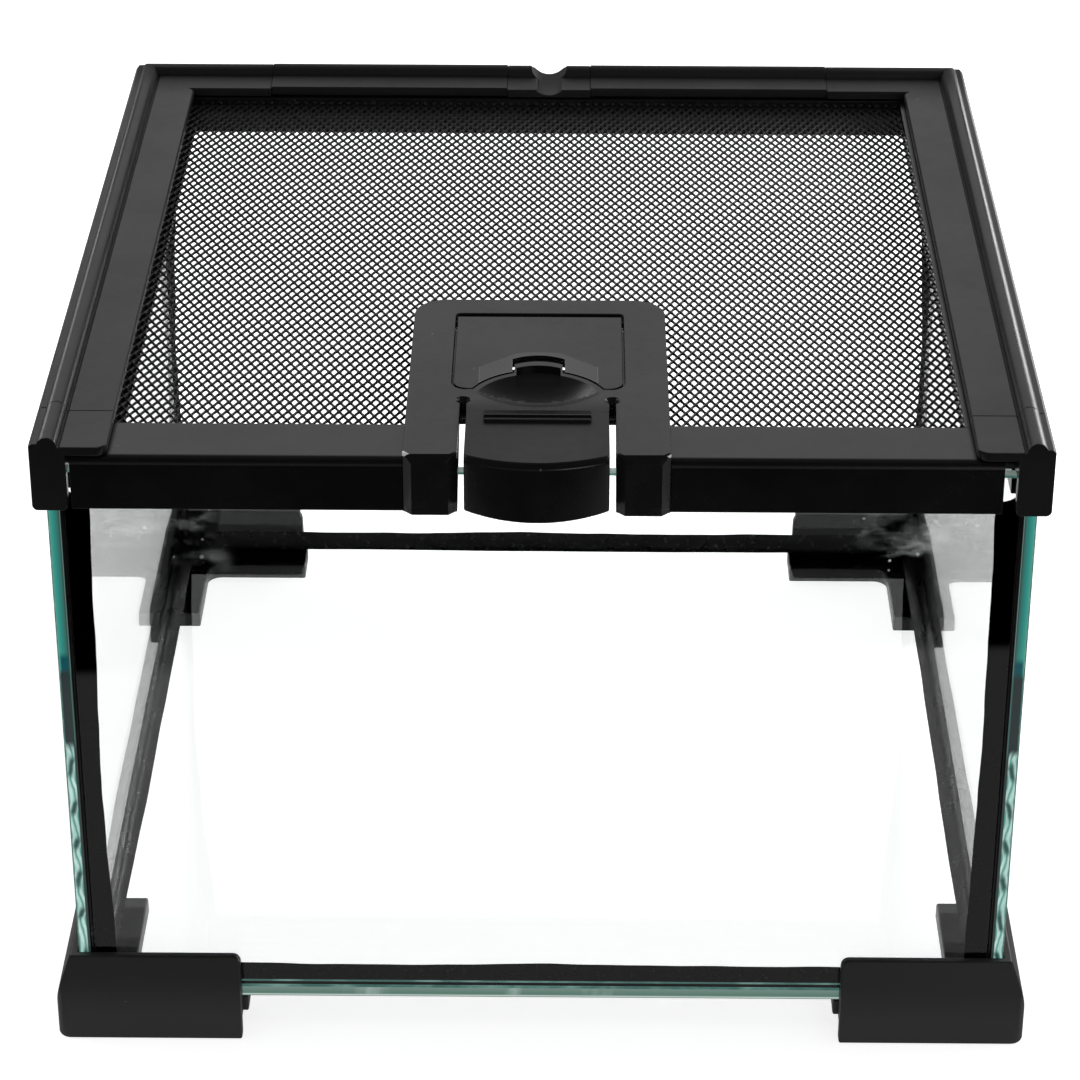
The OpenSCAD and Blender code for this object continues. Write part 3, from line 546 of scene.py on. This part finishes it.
def softened(node, finishes, rules, move=None, bend=None, paint=None):
    """A copy of a CAD node with rounded edges.

    Its triangles are merged, flat ones are joined, and its edges are rounded by the rules. move
    shifts the points first, bend gives normals to some face corners, and paint picks the finish of
    each face from its middle and its normal.
    """
    shape = bmesh.new()
    shape.from_mesh(frame["nodes"][node].data)
    bmesh.ops.remove_doubles(shape, verts=shape.verts, dist=SAME_POINT)
    if move:
        places = np.array([v.co for v in shape.verts]) / MM
        for vertex, place in zip(shape.verts, move(places) * MM):
            vertex.co = place
    bmesh.ops.dissolve_limit(shape, angle_limit=math.radians(FLAT), verts=shape.verts, edges=shape.edges)
    break_shading(shape, round_edges(shape, rules))
    for face in shape.faces:
        middle = np.array(face.calc_center_median()) / MM
        face.material_index = paint(middle, np.array(face.normal)) if paint else 0
    bmesh.ops.remove_doubles(shape, verts=shape.verts, dist=SAME_POINT)
    mesh = bpy.data.meshes.new(node)
    shape.to_mesh(mesh)
    shape.free()
    piece = new_piece(node + "_finished", mesh, finishes)
    smooth_faces(mesh)
    weigh_normals(piece)
    if bend:
        bent_normals(piece, bend)
    return stands_for(piece, node)


def every(items, name, width=1, kind=float):
    """One attribute of every item, in rows of the given width."""
    values = np.empty(len(items) * width, kind)
    items.foreach_get(name, values)
    return values.reshape(-1, width) if width > 1 else values


def bent_normals(piece, bend):
    """Keeps the weighted normals, except at the face corners to which bend gives one of its own.

    bend takes the face middles, the face normals and the corner points, one row for each corner,
    and returns a mask and the new normals.
    """
    bpy.context.view_layer.update()
    ready = piece.evaluated_get(bpy.context.evaluated_depsgraph_get())
    mesh = ready.to_mesh()
    normals = every(mesh.corner_normals, "vector", 3)
    point = every(mesh.vertices, "co", 3)[every(mesh.loops, "vertex_index", kind=int)]
    owner = np.repeat(np.arange(len(mesh.polygons)), every(mesh.polygons, "loop_total", kind=int))
    middle = every(mesh.polygons, "center", 3)[owner]
    facing = every(mesh.polygons, "normal", 3)[owner]
    ready.to_mesh_clear()
    mask, own = bend(middle / MM, facing, point / MM)
    normals[mask] = own[mask] / np.linalg.norm(own[mask], axis=1, keepdims=True)
    piece.modifiers.clear()
    piece.data.normals_split_custom_set(normals.tolist())


def everywhere(x, y, z):
    """Any edge."""
    return True


ARRIS_CUT = 0.35


def pane_finish(facing, thin, side, clear):
    """The finish of one face of a pane: clear on its two broad faces, and elsewhere that of what it meets.

    thin is the axis of its thickness and side its side of the box. Cuts and ends are silicone where they
    are bonded, arrises in a pale painted glow along the free cuts, and edges in painted light at the free
    ends.
    """
    slant = np.abs(facing).max() < 0.99
    if abs(facing[thin]) > 0.99:
        return clear
    if slant and thin == 0:
        return SILICONE if facing[0] * side < 0 else ARRIS
    if slant:
        return SILICONE if thin == 1 and abs(facing[0]) > 0.3 else ARRIS
    if thin == 2:
        return FLOOR_EDGE
    if facing[2] > 0.99:
        return TOP_EDGE
    return WALL_EDGE if thin == 0 and abs(facing[1]) > 0.99 else SILICONE


def arrised_pane(node, thin, clear=GLASS):
    """A pane: a box whose twelve edges are cut at 45 degrees.

    It is the hull of 24 points: each of the box's eight corners, moved inwards by the cut along
    two of the three axes.
    """
    low, high = (np.array(corner) for corner in box_mm(node))
    corner = np.array([[i, j, k] for i in (0, 1) for j in (0, 1) for k in (0, 1)], float)
    ends = low + corner * (high - low)
    inward = (1 - 2 * corner) * ARRIS_CUT
    points = np.concatenate([ends + inward * (1 - np.eye(3)[a]) for a in range(3)])
    shape = bmesh.new()
    for point in points * MM:
        shape.verts.new(point)
    bmesh.ops.convex_hull(shape, input=shape.verts)
    bmesh.ops.dissolve_limit(shape, angle_limit=math.radians(1.0), verts=shape.verts, edges=shape.edges)
    bmesh.ops.recalc_face_normals(shape, faces=shape.faces)
    finishes = [clear, ARRIS, SILICONE, FLOOR_EDGE if thin == 2 else WALL_EDGE, TOP_EDGE]
    for face in shape.faces:
        shown = pane_finish(np.array(face.normal), thin, low[0] + high[0], clear)
        face.material_index = finishes.index(shown)
    mesh = bpy.data.meshes.new(node)
    shape.to_mesh(mesh)
    shape.free()
    piece = new_piece(node + "_glass", mesh, finishes)
    return stands_for(piece, node)


def grid_faces(rows, columns, close_rows=False):
    """Quads between neighbouring rows of a grid of points, where each row is closed."""
    i = np.arange(rows if close_rows else rows - 1)
    i, j = (a.ravel() for a in np.meshgrid(i, np.arange(columns), indexing="ij"))
    i1, j1 = (i + 1) % rows, (j + 1) % columns
    return np.stack([i * columns + j, i * columns + j1, i1 * columns + j1, i1 * columns + j], 1)


def bead(name, node, rings, loop=False):
    """A tube of silicone through closed rings of points: rings has stations, points, 3 numbers."""
    stations, count = rings.shape[:2]
    faces = grid_faces(stations, count, close_rows=loop).tolist()
    if not loop:
        faces.append(list(range(count))[::-1])
        faces.append([(stations - 1) * count + k for k in range(count)])
    mesh = closed_mesh(rings.reshape(-1, 3), faces)
    piece = new_piece(name, mesh, [SILICONE])
    smooth_faces(mesh)
    mesh.set_sharp_from_angle(angle=math.radians(BEAD_CREASE))
    weigh_normals(piece)
    return stands_for(piece, node)


def ripple(along, length, seed):
    """Slow uneven wave between about -1 and 1, as a sum of five sines.

    Each is 1.7 times as short as the one before it and 0.62 times as high.
    """
    draw = np.random.default_rng(SEED + seed)
    total = np.zeros_like(along, dtype=float)
    for k in range(5):
        phase = draw.uniform(0, 2 * math.pi)
        total += 0.62 ** k * np.sin(2 * math.pi * along * 1.7 ** k / length + phase)
    return total / 1.8


# ---- Glass ----

arrised_pane("floor_pane", 2)
arrised_pane("front_pane", 1, clear=MARKED_GLASS)
arrised_pane("back_pane", 1)
arrised_pane("left_pane", 0)
arrised_pane("right_pane", 0)


# ---- Silicone ----

def bead_profile(leg_u, leg_v, steps=9):
    """Hollow fillet in the corner at 0, 0: u = leg (1 - sin a), v = leg (1 - cos a), a 0 to 90 degrees."""
    a = np.linspace(0, math.pi / 2, steps)
    u = leg_u[:, None] * (1 - np.sin(a))
    v = leg_v[:, None] * (1 - np.cos(a))
    return u, v


# Widths of the upright beads as (height, width) in millimetres
REAR_WIDTHS = ((20, 2.3), (40, 1.7), (70, 1.0), (98, 2.4), (125, 4.2))
FRONT_LEFT_WIDTHS = ((20, 4.9), (60, 4.2), (90, 4.6), (125, 5.5))
FRONT_RIGHT_WIDTHS = ((20, 5.2), (60, 4.9), (90, 4.7), (125, 5.4))


def corner_bead(node, side, end, widths, seed):
    """Upright bead in one corner of the glass box, with the joint between the panes outside it.

    A ring is the fillet's profile and the four corners of the joint, at (side (INNER - u),
    end (INNER - v)), and it is carried up from the floor to the top of the node.
    """
    z = np.linspace(FLOOR_TOP, box_mm(node)[1][2], 150)
    waist = np.interp(z, *zip(*widths))
    u, v = bead_profile(waist + 0.2 * ripple(z, 60, seed), waist + 0.3 * ripple(z, 45, seed + 1))
    outside = 0.12 - PANE
    joint = np.array([[0.0, 0.0], [0.0, outside], [JOINT, outside], [JOINT, 0.0]])
    u = np.concatenate([np.repeat(joint[None, :, 0], len(z), 0), u], 1)
    v = np.concatenate([np.repeat(joint[None, :, 1], len(z), 0), v], 1)
    x, y = side * (INNER - u), end * (INNER - v)
    rings = np.stack([x, y, np.repeat(z[:, None], u.shape[1], 1)], 2)
    return bead(node + "_bead", node, rings)


corner_bead("corner_seal_front_left", -1, -1, FRONT_LEFT_WIDTHS, 1)
corner_bead("corner_seal_front_right", 1, -1, FRONT_RIGHT_WIDTHS, 3)
corner_bead("corner_seal_rear_left", -1, 1, REAR_WIDTHS, 5)
corner_bead("corner_seal_rear_right", 1, 1, REAR_WIDTHS, 7)


def floor_bead():
    """Bead round the floor: the fillet carried round the four walls, mitred in the corners."""
    steps, width, less_at_rear, height = 120, 3.6, 2.2, 4.7
    t = np.linspace(-1, 1, steps + 1)[:-1]
    path, inward = [], []
    for c, s in ((1, 0), (0, 1), (-1, 0), (0, -1)):
        x, y = INNER * t, np.full_like(t, -INNER)
        nx, ny = np.where(t == -1, 1.0, 0.0), np.ones_like(t)
        path.append(np.stack([c * x - s * y, s * x + c * y], 1))
        inward.append(np.stack([c * nx - s * ny, s * nx + c * ny], 1))
    path, inward = np.concatenate(path), np.concatenate(inward)
    along = np.arange(len(path)) * 2 * INNER / steps
    rear = np.repeat([0.0, 0.0, 1.0, 0.0], steps)
    u, v = bead_profile(width - less_at_rear * rear + 0.3 * ripple(along, 194, 11),
                        height + 0.3 * ripple(along, 97, 12), 7)
    u = np.concatenate([np.zeros((len(path), 1)), u], 1)
    v = np.concatenate([np.zeros((len(path), 1)), v], 1)
    plan = path[:, None, :] + u[:, :, None] * inward[:, None, :]
    rings = np.concatenate([plan, FLOOR_TOP + v[:, :, None]], 2)
    return bead("floor_bead", "floor_seal", rings, loop=True)


floor_bead()


# ---- Feet and top frame ----

def raised_rim(places):
    """The topmost band of a rear foot stands higher on the panes: z + lift where z > top - band."""
    band, lift = 0.6, 1.0
    new = places.copy()
    new[places[:, 2] > places[:, 2].max() - band, 2] += lift
    return new


for end, move in (("front", None), ("rear", raised_rim)):
    for side in ("left", "right"):
        softened(f"foot_{end}_{side}", [FOOT], [(everywhere, CORNER, 0.45)], move=move)
for node in ("rail_left", "rail_right", "rear_rail_left", "rear_rail_right", "cable_port",
             "front_corner_left", "front_corner_right"):
    softened(node, [FRAME], [(everywhere, CORNER, 0.25)])
for node in ("lid_front_bar", "lid_left_runner", "lid_right_runner", "lid_rear_bar"):
    softened(node, [LID], [(everywhere, CORNER, 0.2)])


# ---- Mesh of the lid ----

PITCH_X, PITCH_Y = 2.11, 4.07
HOLE_X, HOLE_Y = 0.69, 1.46
# The plain plate under the latch panel, the mesh's solid border, and how far the holes run into it
BASE_X, BASE_BACK = 26.0, -32.0
BORDER, OPEN_BORDER = 3.0, 1.6
WELD = 0.01


def lattice(x0, x1, y0, y1):
    """Moulded diamond mesh as one closed surface.

    Hole centres stand at i PITCH_X, j PITCH_Y and halfway between. Each hole owns the rhombus round
    it. Four rings of eight points make a cell: the rhombus on top, the hole's upper rim, its lower
    rim, and the rhombus underneath. A rim is a diamond whose sides bulge outwards.
    """
    rings, count = 4, 8
    j = np.arange(math.ceil(y0 / (PITCH_Y / 2)), math.floor(y1 / (PITCH_Y / 2)) + 1)
    i = np.arange(math.ceil(x0 / PITCH_X) - 1, math.floor(x1 / PITCH_X) + 2)
    j, i = (a.ravel() for a in np.meshgrid(j, i, indexing="ij"))
    cx, cy = (i + 0.5 * (j % 2)) * PITCH_X, j * PITCH_Y / 2
    beside_base = (np.abs(cx) > BASE_X - 0.6) | (cy > BASE_BACK - 0.8)
    inside = (cx > x0 - WELD) & (cx < x1 - WELD) & beside_base
    cx, cy = cx[inside], cy[inside]
    a = np.arange(count) * math.pi / 4
    on_side = np.arange(count) % 2 == 1
    outer = np.where(on_side, 0.5 / math.cos(math.pi / 4), 1.0)
    bulge = np.where(on_side, 0.57 / math.cos(math.pi / 4), 1.0)
    ex, ey = PITCH_X / 2 * outer * np.cos(a), PITCH_Y / 2 * outer * np.sin(a)
    hx, hy = HOLE_X * bulge * np.cos(a), HOLE_Y * bulge * np.sin(a)
    crown = np.where(on_side, MESH_Z1, MESH_Z1 - 0.16)
    foot = np.where(on_side, MESH_Z0 + 0.12, MESH_Z0)
    ring_x = np.stack([ex, hx, hx, ex])
    ring_y = np.stack([ey, hy, hy, ey])
    ring_z = np.stack([crown, np.full(count, MESH_Z1 - 0.3), np.full(count, MESH_Z0 + 0.2), foot])
    points = np.stack([LID_SHIFT + cx[:, None, None] + ring_x, cy[:, None, None] + ring_y,
                       np.broadcast_to(ring_z, (len(cx), rings, count))], 3).reshape(-1, 3)
    cell = np.arange(len(cx))[:, None] * rings * count
    faces = (cell[:, :, None] + grid_faces(rings, count)[:, ::-1]).reshape(-1, 4)
    # Weld the points that neighbouring cells share. They lie on quarters of a step, and an eighth
    # more keeps them off the limit where rounding tips over.
    _, first, same = np.unique(np.round(points / WELD + 0.125).astype(int), axis=0,
                               return_index=True, return_inverse=True)
    same = same.ravel()
    # Walls round the rim, where a cell has no neighbour
    top = same[cell + np.arange(count)]
    low = same[cell + (rings - 1) * count + np.arange(count)]
    after = np.roll(top, -1, 1)
    key = (np.minimum(top, after).astype(np.int64) << 32) + np.maximum(top, after)
    values, uses = np.unique(key, return_counts=True)
    lonely = np.isin(key, values[uses == 1])
    walls = np.stack([after, top, low, np.roll(low, -1, 1)], 2)[lonely]
    return points[first], np.concatenate([same[faces], walls])


def lattice_piece(name, x0, x1):
    mesh = closed_mesh(*lattice(x0, x1, MESH_FRONT + OPEN_BORDER, MESH_BACK - OPEN_BORDER))
    piece = new_piece(name, mesh, [MESH])
    smooth_faces(mesh)
    mesh.set_sharp_from_angle(angle=math.radians(MESH_CREASE))
    return stands_for(piece, "lid_mesh")


def slab(outline, z0, z1):
    """Points and faces of a flat plate over an outline that runs anticlockwise."""
    n = len(outline)
    outline = np.asarray(outline, float) + [LID_SHIFT, 0]
    points = [(x, y, z) for z in (z0, z1) for x, y in outline]
    faces = [list(range(n))[::-1], [n + k for k in range(n)]]
    faces += [[k, (k + 1) % n, n + (k + 1) % n, n + k] for k in range(n)]
    return points, faces


def mesh_border():
    """Solid edge of the mesh under the bars, and the plate under the latch panel."""
    x, y0, y1 = MESH_X, MESH_FRONT, MESH_BACK
    xi, yi0, yi1 = x - BORDER, y0 + BORDER, y1 - BORDER
    tongue = 17.0
    collar, collar_front, collar_back = 19.7, -82.6, -36.5
    parts = [
        [(-x, y0), (-tongue, y0), (-tongue, yi0), (-xi, yi0)],
        [(tongue, y0), (x, y0), (xi, yi0), (tongue, yi0)],
        [(x, y0), (x, y1), (xi, yi1), (xi, yi0)],
        [(x, y1), (-x, y1), (-xi, yi1), (xi, yi1)],
        [(-x, y1), (-x, y0), (-xi, yi0), (-xi, yi1)],
        [(-BASE_X, yi0), (-tongue, yi0), (-tongue, collar_front), (-collar, collar_front),
         (-collar, collar_back), (collar, collar_back), (collar, collar_front), (tongue, collar_front),
         (tongue, yi0), (BASE_X, yi0), (BASE_X, BASE_BACK), (-BASE_X, BASE_BACK)],
    ]
    points, faces = [], []
    for outline in parts:
        more_points, more_faces = slab(outline, MESH_Z0, MESH_Z1)
        faces += [[k + len(points) for k in face] for face in more_faces]
        points += more_points
    piece = new_piece("mesh_border", closed_mesh(points, faces), [MESH])
    return stands_for(piece, "lid_mesh")


lattice_piece("mesh_left", OPEN_BORDER - MESH_X, 0.0)
lattice_piece("mesh_right", 0.0, MESH_X - OPEN_BORDER)
mesh_border()


# ---- Latch panel, tongue and feeding door ----

# Distances from the panel's middle line, and heights and places along it, all in millimetres
TONGUE_HALF = 14.65
SLOT_X = 14.9
LEG_X, LEG_CORNER, LEG_FRONT = 21.5, 4.6, -102.5
LIP_FRONT, LIP_LOW, LIP_HIGH = -103.0, 141.0, 143.6
NOTCH_HALF, NOTCH_BACK = 6.2, -57.0


def at_root(x, y, z):
    """Where the tongue meets the plate: one moulding, so no edge is rounded."""
    return abs(y - ROOT_Y) < 0.2 and abs(x - LID_SHIFT) < TONGUE_HALF + 0.15


def at_catch(x, y, z):
    """Edges round the scoop's rim, the notch of the door and the catch behind it."""
    x = x - LID_SHIFT
    off_arc = math.hypot(x, y - REAR_ARC_Y) - REAR_ARC_R
    on_rim = -0.3 < off_arc < 1.9 and y > SCOOP_FRONT + 2
    return on_rim or (abs(x) < NOTCH_HALF and SCOOP_REAR - 4 < y < NOTCH_BACK)


def at_leg_corner(x, y, z):
    """Upper ends of the upright cuts at the corners of the legs."""
    off_corner = abs(abs(abs(x - LID_SHIFT) - LEG_X) - LEG_CORNER)
    return y < LEG_FRONT and z > PANEL_TOP - 1.5 and off_corner < 1.2


def at_tongue_lip(x, y, z):
    """Lower edge of the cut along the tongue's top front edge."""
    return y < LIP_FRONT and LIP_LOW < z < LIP_HIGH


def at_slot_end(x, y, z):
    """Rim of the round sinks where the slots end."""
    return (z > PANEL_TOP - 1.5 and ROOT_Y - 4.0 < y < ROOT_Y + 2.5
            and abs(abs(x - LID_SHIFT) - SLOT_X) < 2.6)


def on_pad(x, y, z):
    """The raised pad round the door's notch."""
    return z > PANEL_TOP + 0.02


def scoop_normals(middle, facing, point):
    """Exact normals in the thumb scoop.

    It is the overlap of two balls that cut circles of radius r in the panel's top and are d deep
    there: ball radius R = (r^2 + d^2) / 2 d, middle R - d above the top. A face lies on the ball
    that its middle is least far inside of. The floor of the recess is shaded with the rear ball.
    """
    blend, recess = 0.4, 5.0
    x = middle[:, 0] - LID_SHIFT
    inside = (np.abs(x) < SCOOP_HALF) & (middle[:, 1] > SCOOP_FRONT) & (middle[:, 1] < SCOOP_REAR + recess)
    inside &= (middle[:, 2] < PANEL_TOP - 0.02) & (facing[:, 2] > 0.3)
    own, gaps = [], []
    for y, r in ((REAR_ARC_Y, REAR_ARC_R), (FRONT_ARC_Y, FRONT_ARC_R)):
        ball = (r * r + DISH * DISH) / (2 * DISH)
        centre = np.array([LID_SHIFT, y, PANEL_TOP + ball - DISH])
        own.append((centre - point) / ball)
        gaps.append(ball - np.linalg.norm(centre - middle, axis=1))
    share = np.clip(0.5 + (gaps[0] - gaps[1]) / blend, 0, 1)[:, None]
    return inside, own[0] * (1 - share) + own[1] * share


def low_rib(places):
    """The finger grip with lower ridges, drawn back so that it looks the same from the front.

    Heights above the panel shrink to 0.55. Points move back by 1.2 mm over the front third of the
    grip and by less and less, down to nothing, over the rest: pull = 1.2 (depth - across) / 4.
    """
    lower, pull, depth = 0.55, 1.2, 6.2
    front = ROOT_Y - 6.4
    on_grip = (places[:, 1] < ROOT_Y) & (places[:, 1] > front - 0.2)
    rib = (places[:, 2] > PANEL_TOP + 0.05) & on_grip
    foot = (np.abs(places[:, 2] - PANEL_TOP) < 0.3) & on_grip & (np.abs(places[:, 0] - LID_SHIFT) < 11.1)
    across = np.clip(places[:, 1] - front, 0, depth)
    back = pull * np.clip((depth - across) / 4.0, 0, 1)
    new = places.copy()
    new[rib, 2] = PANEL_TOP + (places[rib, 2] - PANEL_TOP) * lower
    new[rib | foot, 1] += back[rib | foot]
    return new


def rib_normals(middle, facing, point):
    """The grip's rear slope is hollow: shaded with a steeper tilt than its chord."""
    slope = (middle[:, 2] > PANEL_TOP + 0.1) & (facing[:, 1] > 0.05) & (facing[:, 2] > 0.8)
    return slope, np.tile([0.0, 0.34, 0.94], (len(middle), 1))


def leg_paint(middle, facing):
    """The small slant at the top of each leg's outer corners is painted pale: a painted highlight where a
    lamp's glint falls.
    """
    outer = abs(middle[0] - LID_SHIFT) > LEG_X + 2.5 and middle[1] < LEG_FRONT
    return 1 if outer and facing[1] < -0.3 and abs(facing[0]) > 0.3 and facing[2] > 0.25 else 0


def pad_paint(middle, facing):
    """The pad round the notch is a little lighter, and its edges carry a painted highlight."""
    if not on_pad(*middle):
        return 0
    return 1 if facing[2] > 0.999 else 2


# The leg corners of the latch plate take the painted highlight finish
softened("latch_plate", [LATCH, GLINT],
         [(at_root, CORNER, 0), (at_catch, 60, 0), (at_slot_end, 60, 0), (at_leg_corner, 40, 0.7),
          (everywhere, CORNER, 0.25)],
         bend=scoop_normals, paint=leg_paint)
softened("latch_tongue", [TONGUE],
         [(at_root, CORNER, 0), (at_tongue_lip, 18, 0.35), (everywhere, CORNER, 0.3)],
         move=low_rib, bend=rib_normals)
# The pad's edges take the painted highlight finish
softened("feeding_door", [DOOR, PAD, PAD_EDGE_GLINT],
         [(on_pad, CORNER, 0.1), (at_catch, 60, 0), (everywhere, CORNER, 0.25)],
         paint=pad_paint)


def catch_web():
    """A thin web behind the catch, under the ends of the door's notch."""
    out_x, in_x, front, back = 8.2, 4.6, -62.6, -58.2
    cut, dent, slant = 1.2, 1.8, 0.8
    right = [(out_x, front), (out_x, back - cut), (out_x - cut, back), (in_x, back),
             (in_x - slant, back - dent)]
    left = [(-x, y) for x, y in reversed(right)]
    piece = new_piece("catch_web", raw_mesh(*slab(right + left, 139.8, 140.4)), [DOOR])
    arc = piece.modifiers.new("round", "BEVEL")
    arc.width, arc.segments = 0.15 * MM, 2
    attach(piece, "lid")


catch_web()


# ---- Studio ----

def straight_view(place):
    """1 for what the camera sees straight or through glass, 0 for light that has bounced."""
    bounced = place.add("ShaderNodeLightPath", out="Diffuse Depth") + place.add(
        "ShaderNodeLightPath", out="Glossy Depth")
    return bounced.smooth(0.6, 0.4)


def white_floor():
    """A large pale table. It glows a little to the camera and gives a short mirror image.

    The light that it gives to mirrors depends on the way that this light takes. Forward it comes
    only from a strip that ends a little in front of the object. Back it is bright where it has
    passed the glass, and elsewhere faint and fading with distance.
    """
    reach, height = 2500.0, -0.02
    finish, place = new_finish("white_table")
    mesh = raw_mesh([(-reach, -reach, height), (reach, -reach, height), (reach, reach, height),
                     (-reach, reach, height)], [(0, 1, 2, 3)])
    seen = straight_view(place)
    mirrored = place.add("ShaderNodeLightPath", out="Is Glossy Ray")
    glazed = place.add("ShaderNodeLightPath", out="Transmission Depth").smooth(0.4, 0.6)
    deep, wide = place.axis("Y"), place.axis("X")
    strip = (deep + wide * 0.068).smooth(-0.2605, -0.2545, 0.0, 0.41)
    behind = glazed.mix(deep.smooth(0.5, 0.2, 0.0, 0.3), (1.0, 1.0, 1.0))
    backward = place.add("ShaderNodeNewGeometry", out="Incoming").axis("Y").smooth(0.02, -0.02)
    diffuse = place.add("ShaderNodeBsdfDiffuse", {"Color": (0.8, 0.8, 0.8, 1.0)})
    soft = place.add("ShaderNodeBsdfDiffuse", {"Color": (0.7, 0.7, 0.7, 1.0)})
    glow = place.add("ShaderNodeEmission", {"Color": glazed.smooth(0.0, 1.0, 0.80, 1.1), "Strength": 1.0})
    image = place.add("ShaderNodeEmission", {"Color": backward.mix(strip, behind), "Strength": 1.0})
    camera_side = place.add("ShaderNodeAddShader", {0: soft, 1: glow})
    other = place.add("ShaderNodeMixShader", {0: mirrored, 1: diffuse, 2: image})
    place.add("ShaderNodeMixShader", {0: seen, 1: other, 2: camera_side}).is_result()
    new_piece("table", mesh, [finish])


def studio_world():
    """Soft room light: bright behind and above, even at the sides, dark in front.

    Mirrors see a dark ceiling, and the camera sees an even white.
    """
    world = bpy.data.worlds.new("studio")
    world.use_nodes = True
    tree = world.node_tree
    tree.nodes.clear()
    way = Wire(tree, tree.nodes.new("ShaderNodeTexCoord").outputs["Generated"])
    up, back = way.axis("Z"), way.axis("Y")
    mirrored = way.add("ShaderNodeLightPath", out="Is Glossy Ray")
    ceiling = (back.smooth(0.4, 0.8, 0.12, 1.0) - 1.0) * mirrored + 1.0
    room = up.smooth(0.12, 0.42, 0.04, 0.74) * back.smooth(-0.5, 0.1, 0.2, 1.0) * ceiling
    front = back.smooth(-0.5, -0.9, 0.0, 0.22) * up.smooth(0.6, 0.1, 0.0, 1.0)
    light = straight_view(way).mix(room + front, (1.3, 1.3, 1.3))
    way.add("ShaderNodeBackground", {"Color": light, "Strength": 1.0}).is_result("ShaderNodeOutputWorld")
    scene.world = world


def panel_light(name, at, towards, width, height, radiance):
    """A soft rectangular lamp of a given brightness, which the camera doesn't see."""
    lamp = bpy.data.lights.new(name, "AREA")
    lamp.shape = "RECTANGLE"
    lamp.size, lamp.size_y = width, height
    lamp.energy = radiance * math.pi * width * height
    stand = bpy.data.objects.new(name, lamp)
    aim = Vector(towards) - Vector(at)
    stand.matrix_world = Matrix.Translation(at) @ aim.to_track_quat("-Z", "Y").to_matrix().to_4x4()
    stand.visible_camera = False
    scene.collection.objects.link(stand)


white_floor()
studio_world()
panel_light("lamp_right", (0.32, 0.32, 0.18), (0.0, 0.32, 0.18), 0.62, 0.14, 4.5)
panel_light("lamp_left", (-0.34, 0.36, 0.19), (0.0, 0.36, 0.19), 0.5, 0.08, 2.2)
for side, name in ((-1, "strip_left"), (1, "strip_right")):
    panel_light(name, (side * 1.0, 0.10, 0.90), (0.0, 0.0, 0.14), 0.34, 0.16, 5.0)
panel_light("lamp_front", (0.50, -1.05, 0.45), (0.0, -0.1, 0.14), 0.45, 0.35, 1.8)
panel_light("lamp_scoop", (-0.64, 0.60, 0.95), (0.0, -0.07, 0.14), 0.4, 0.26, 2.4)
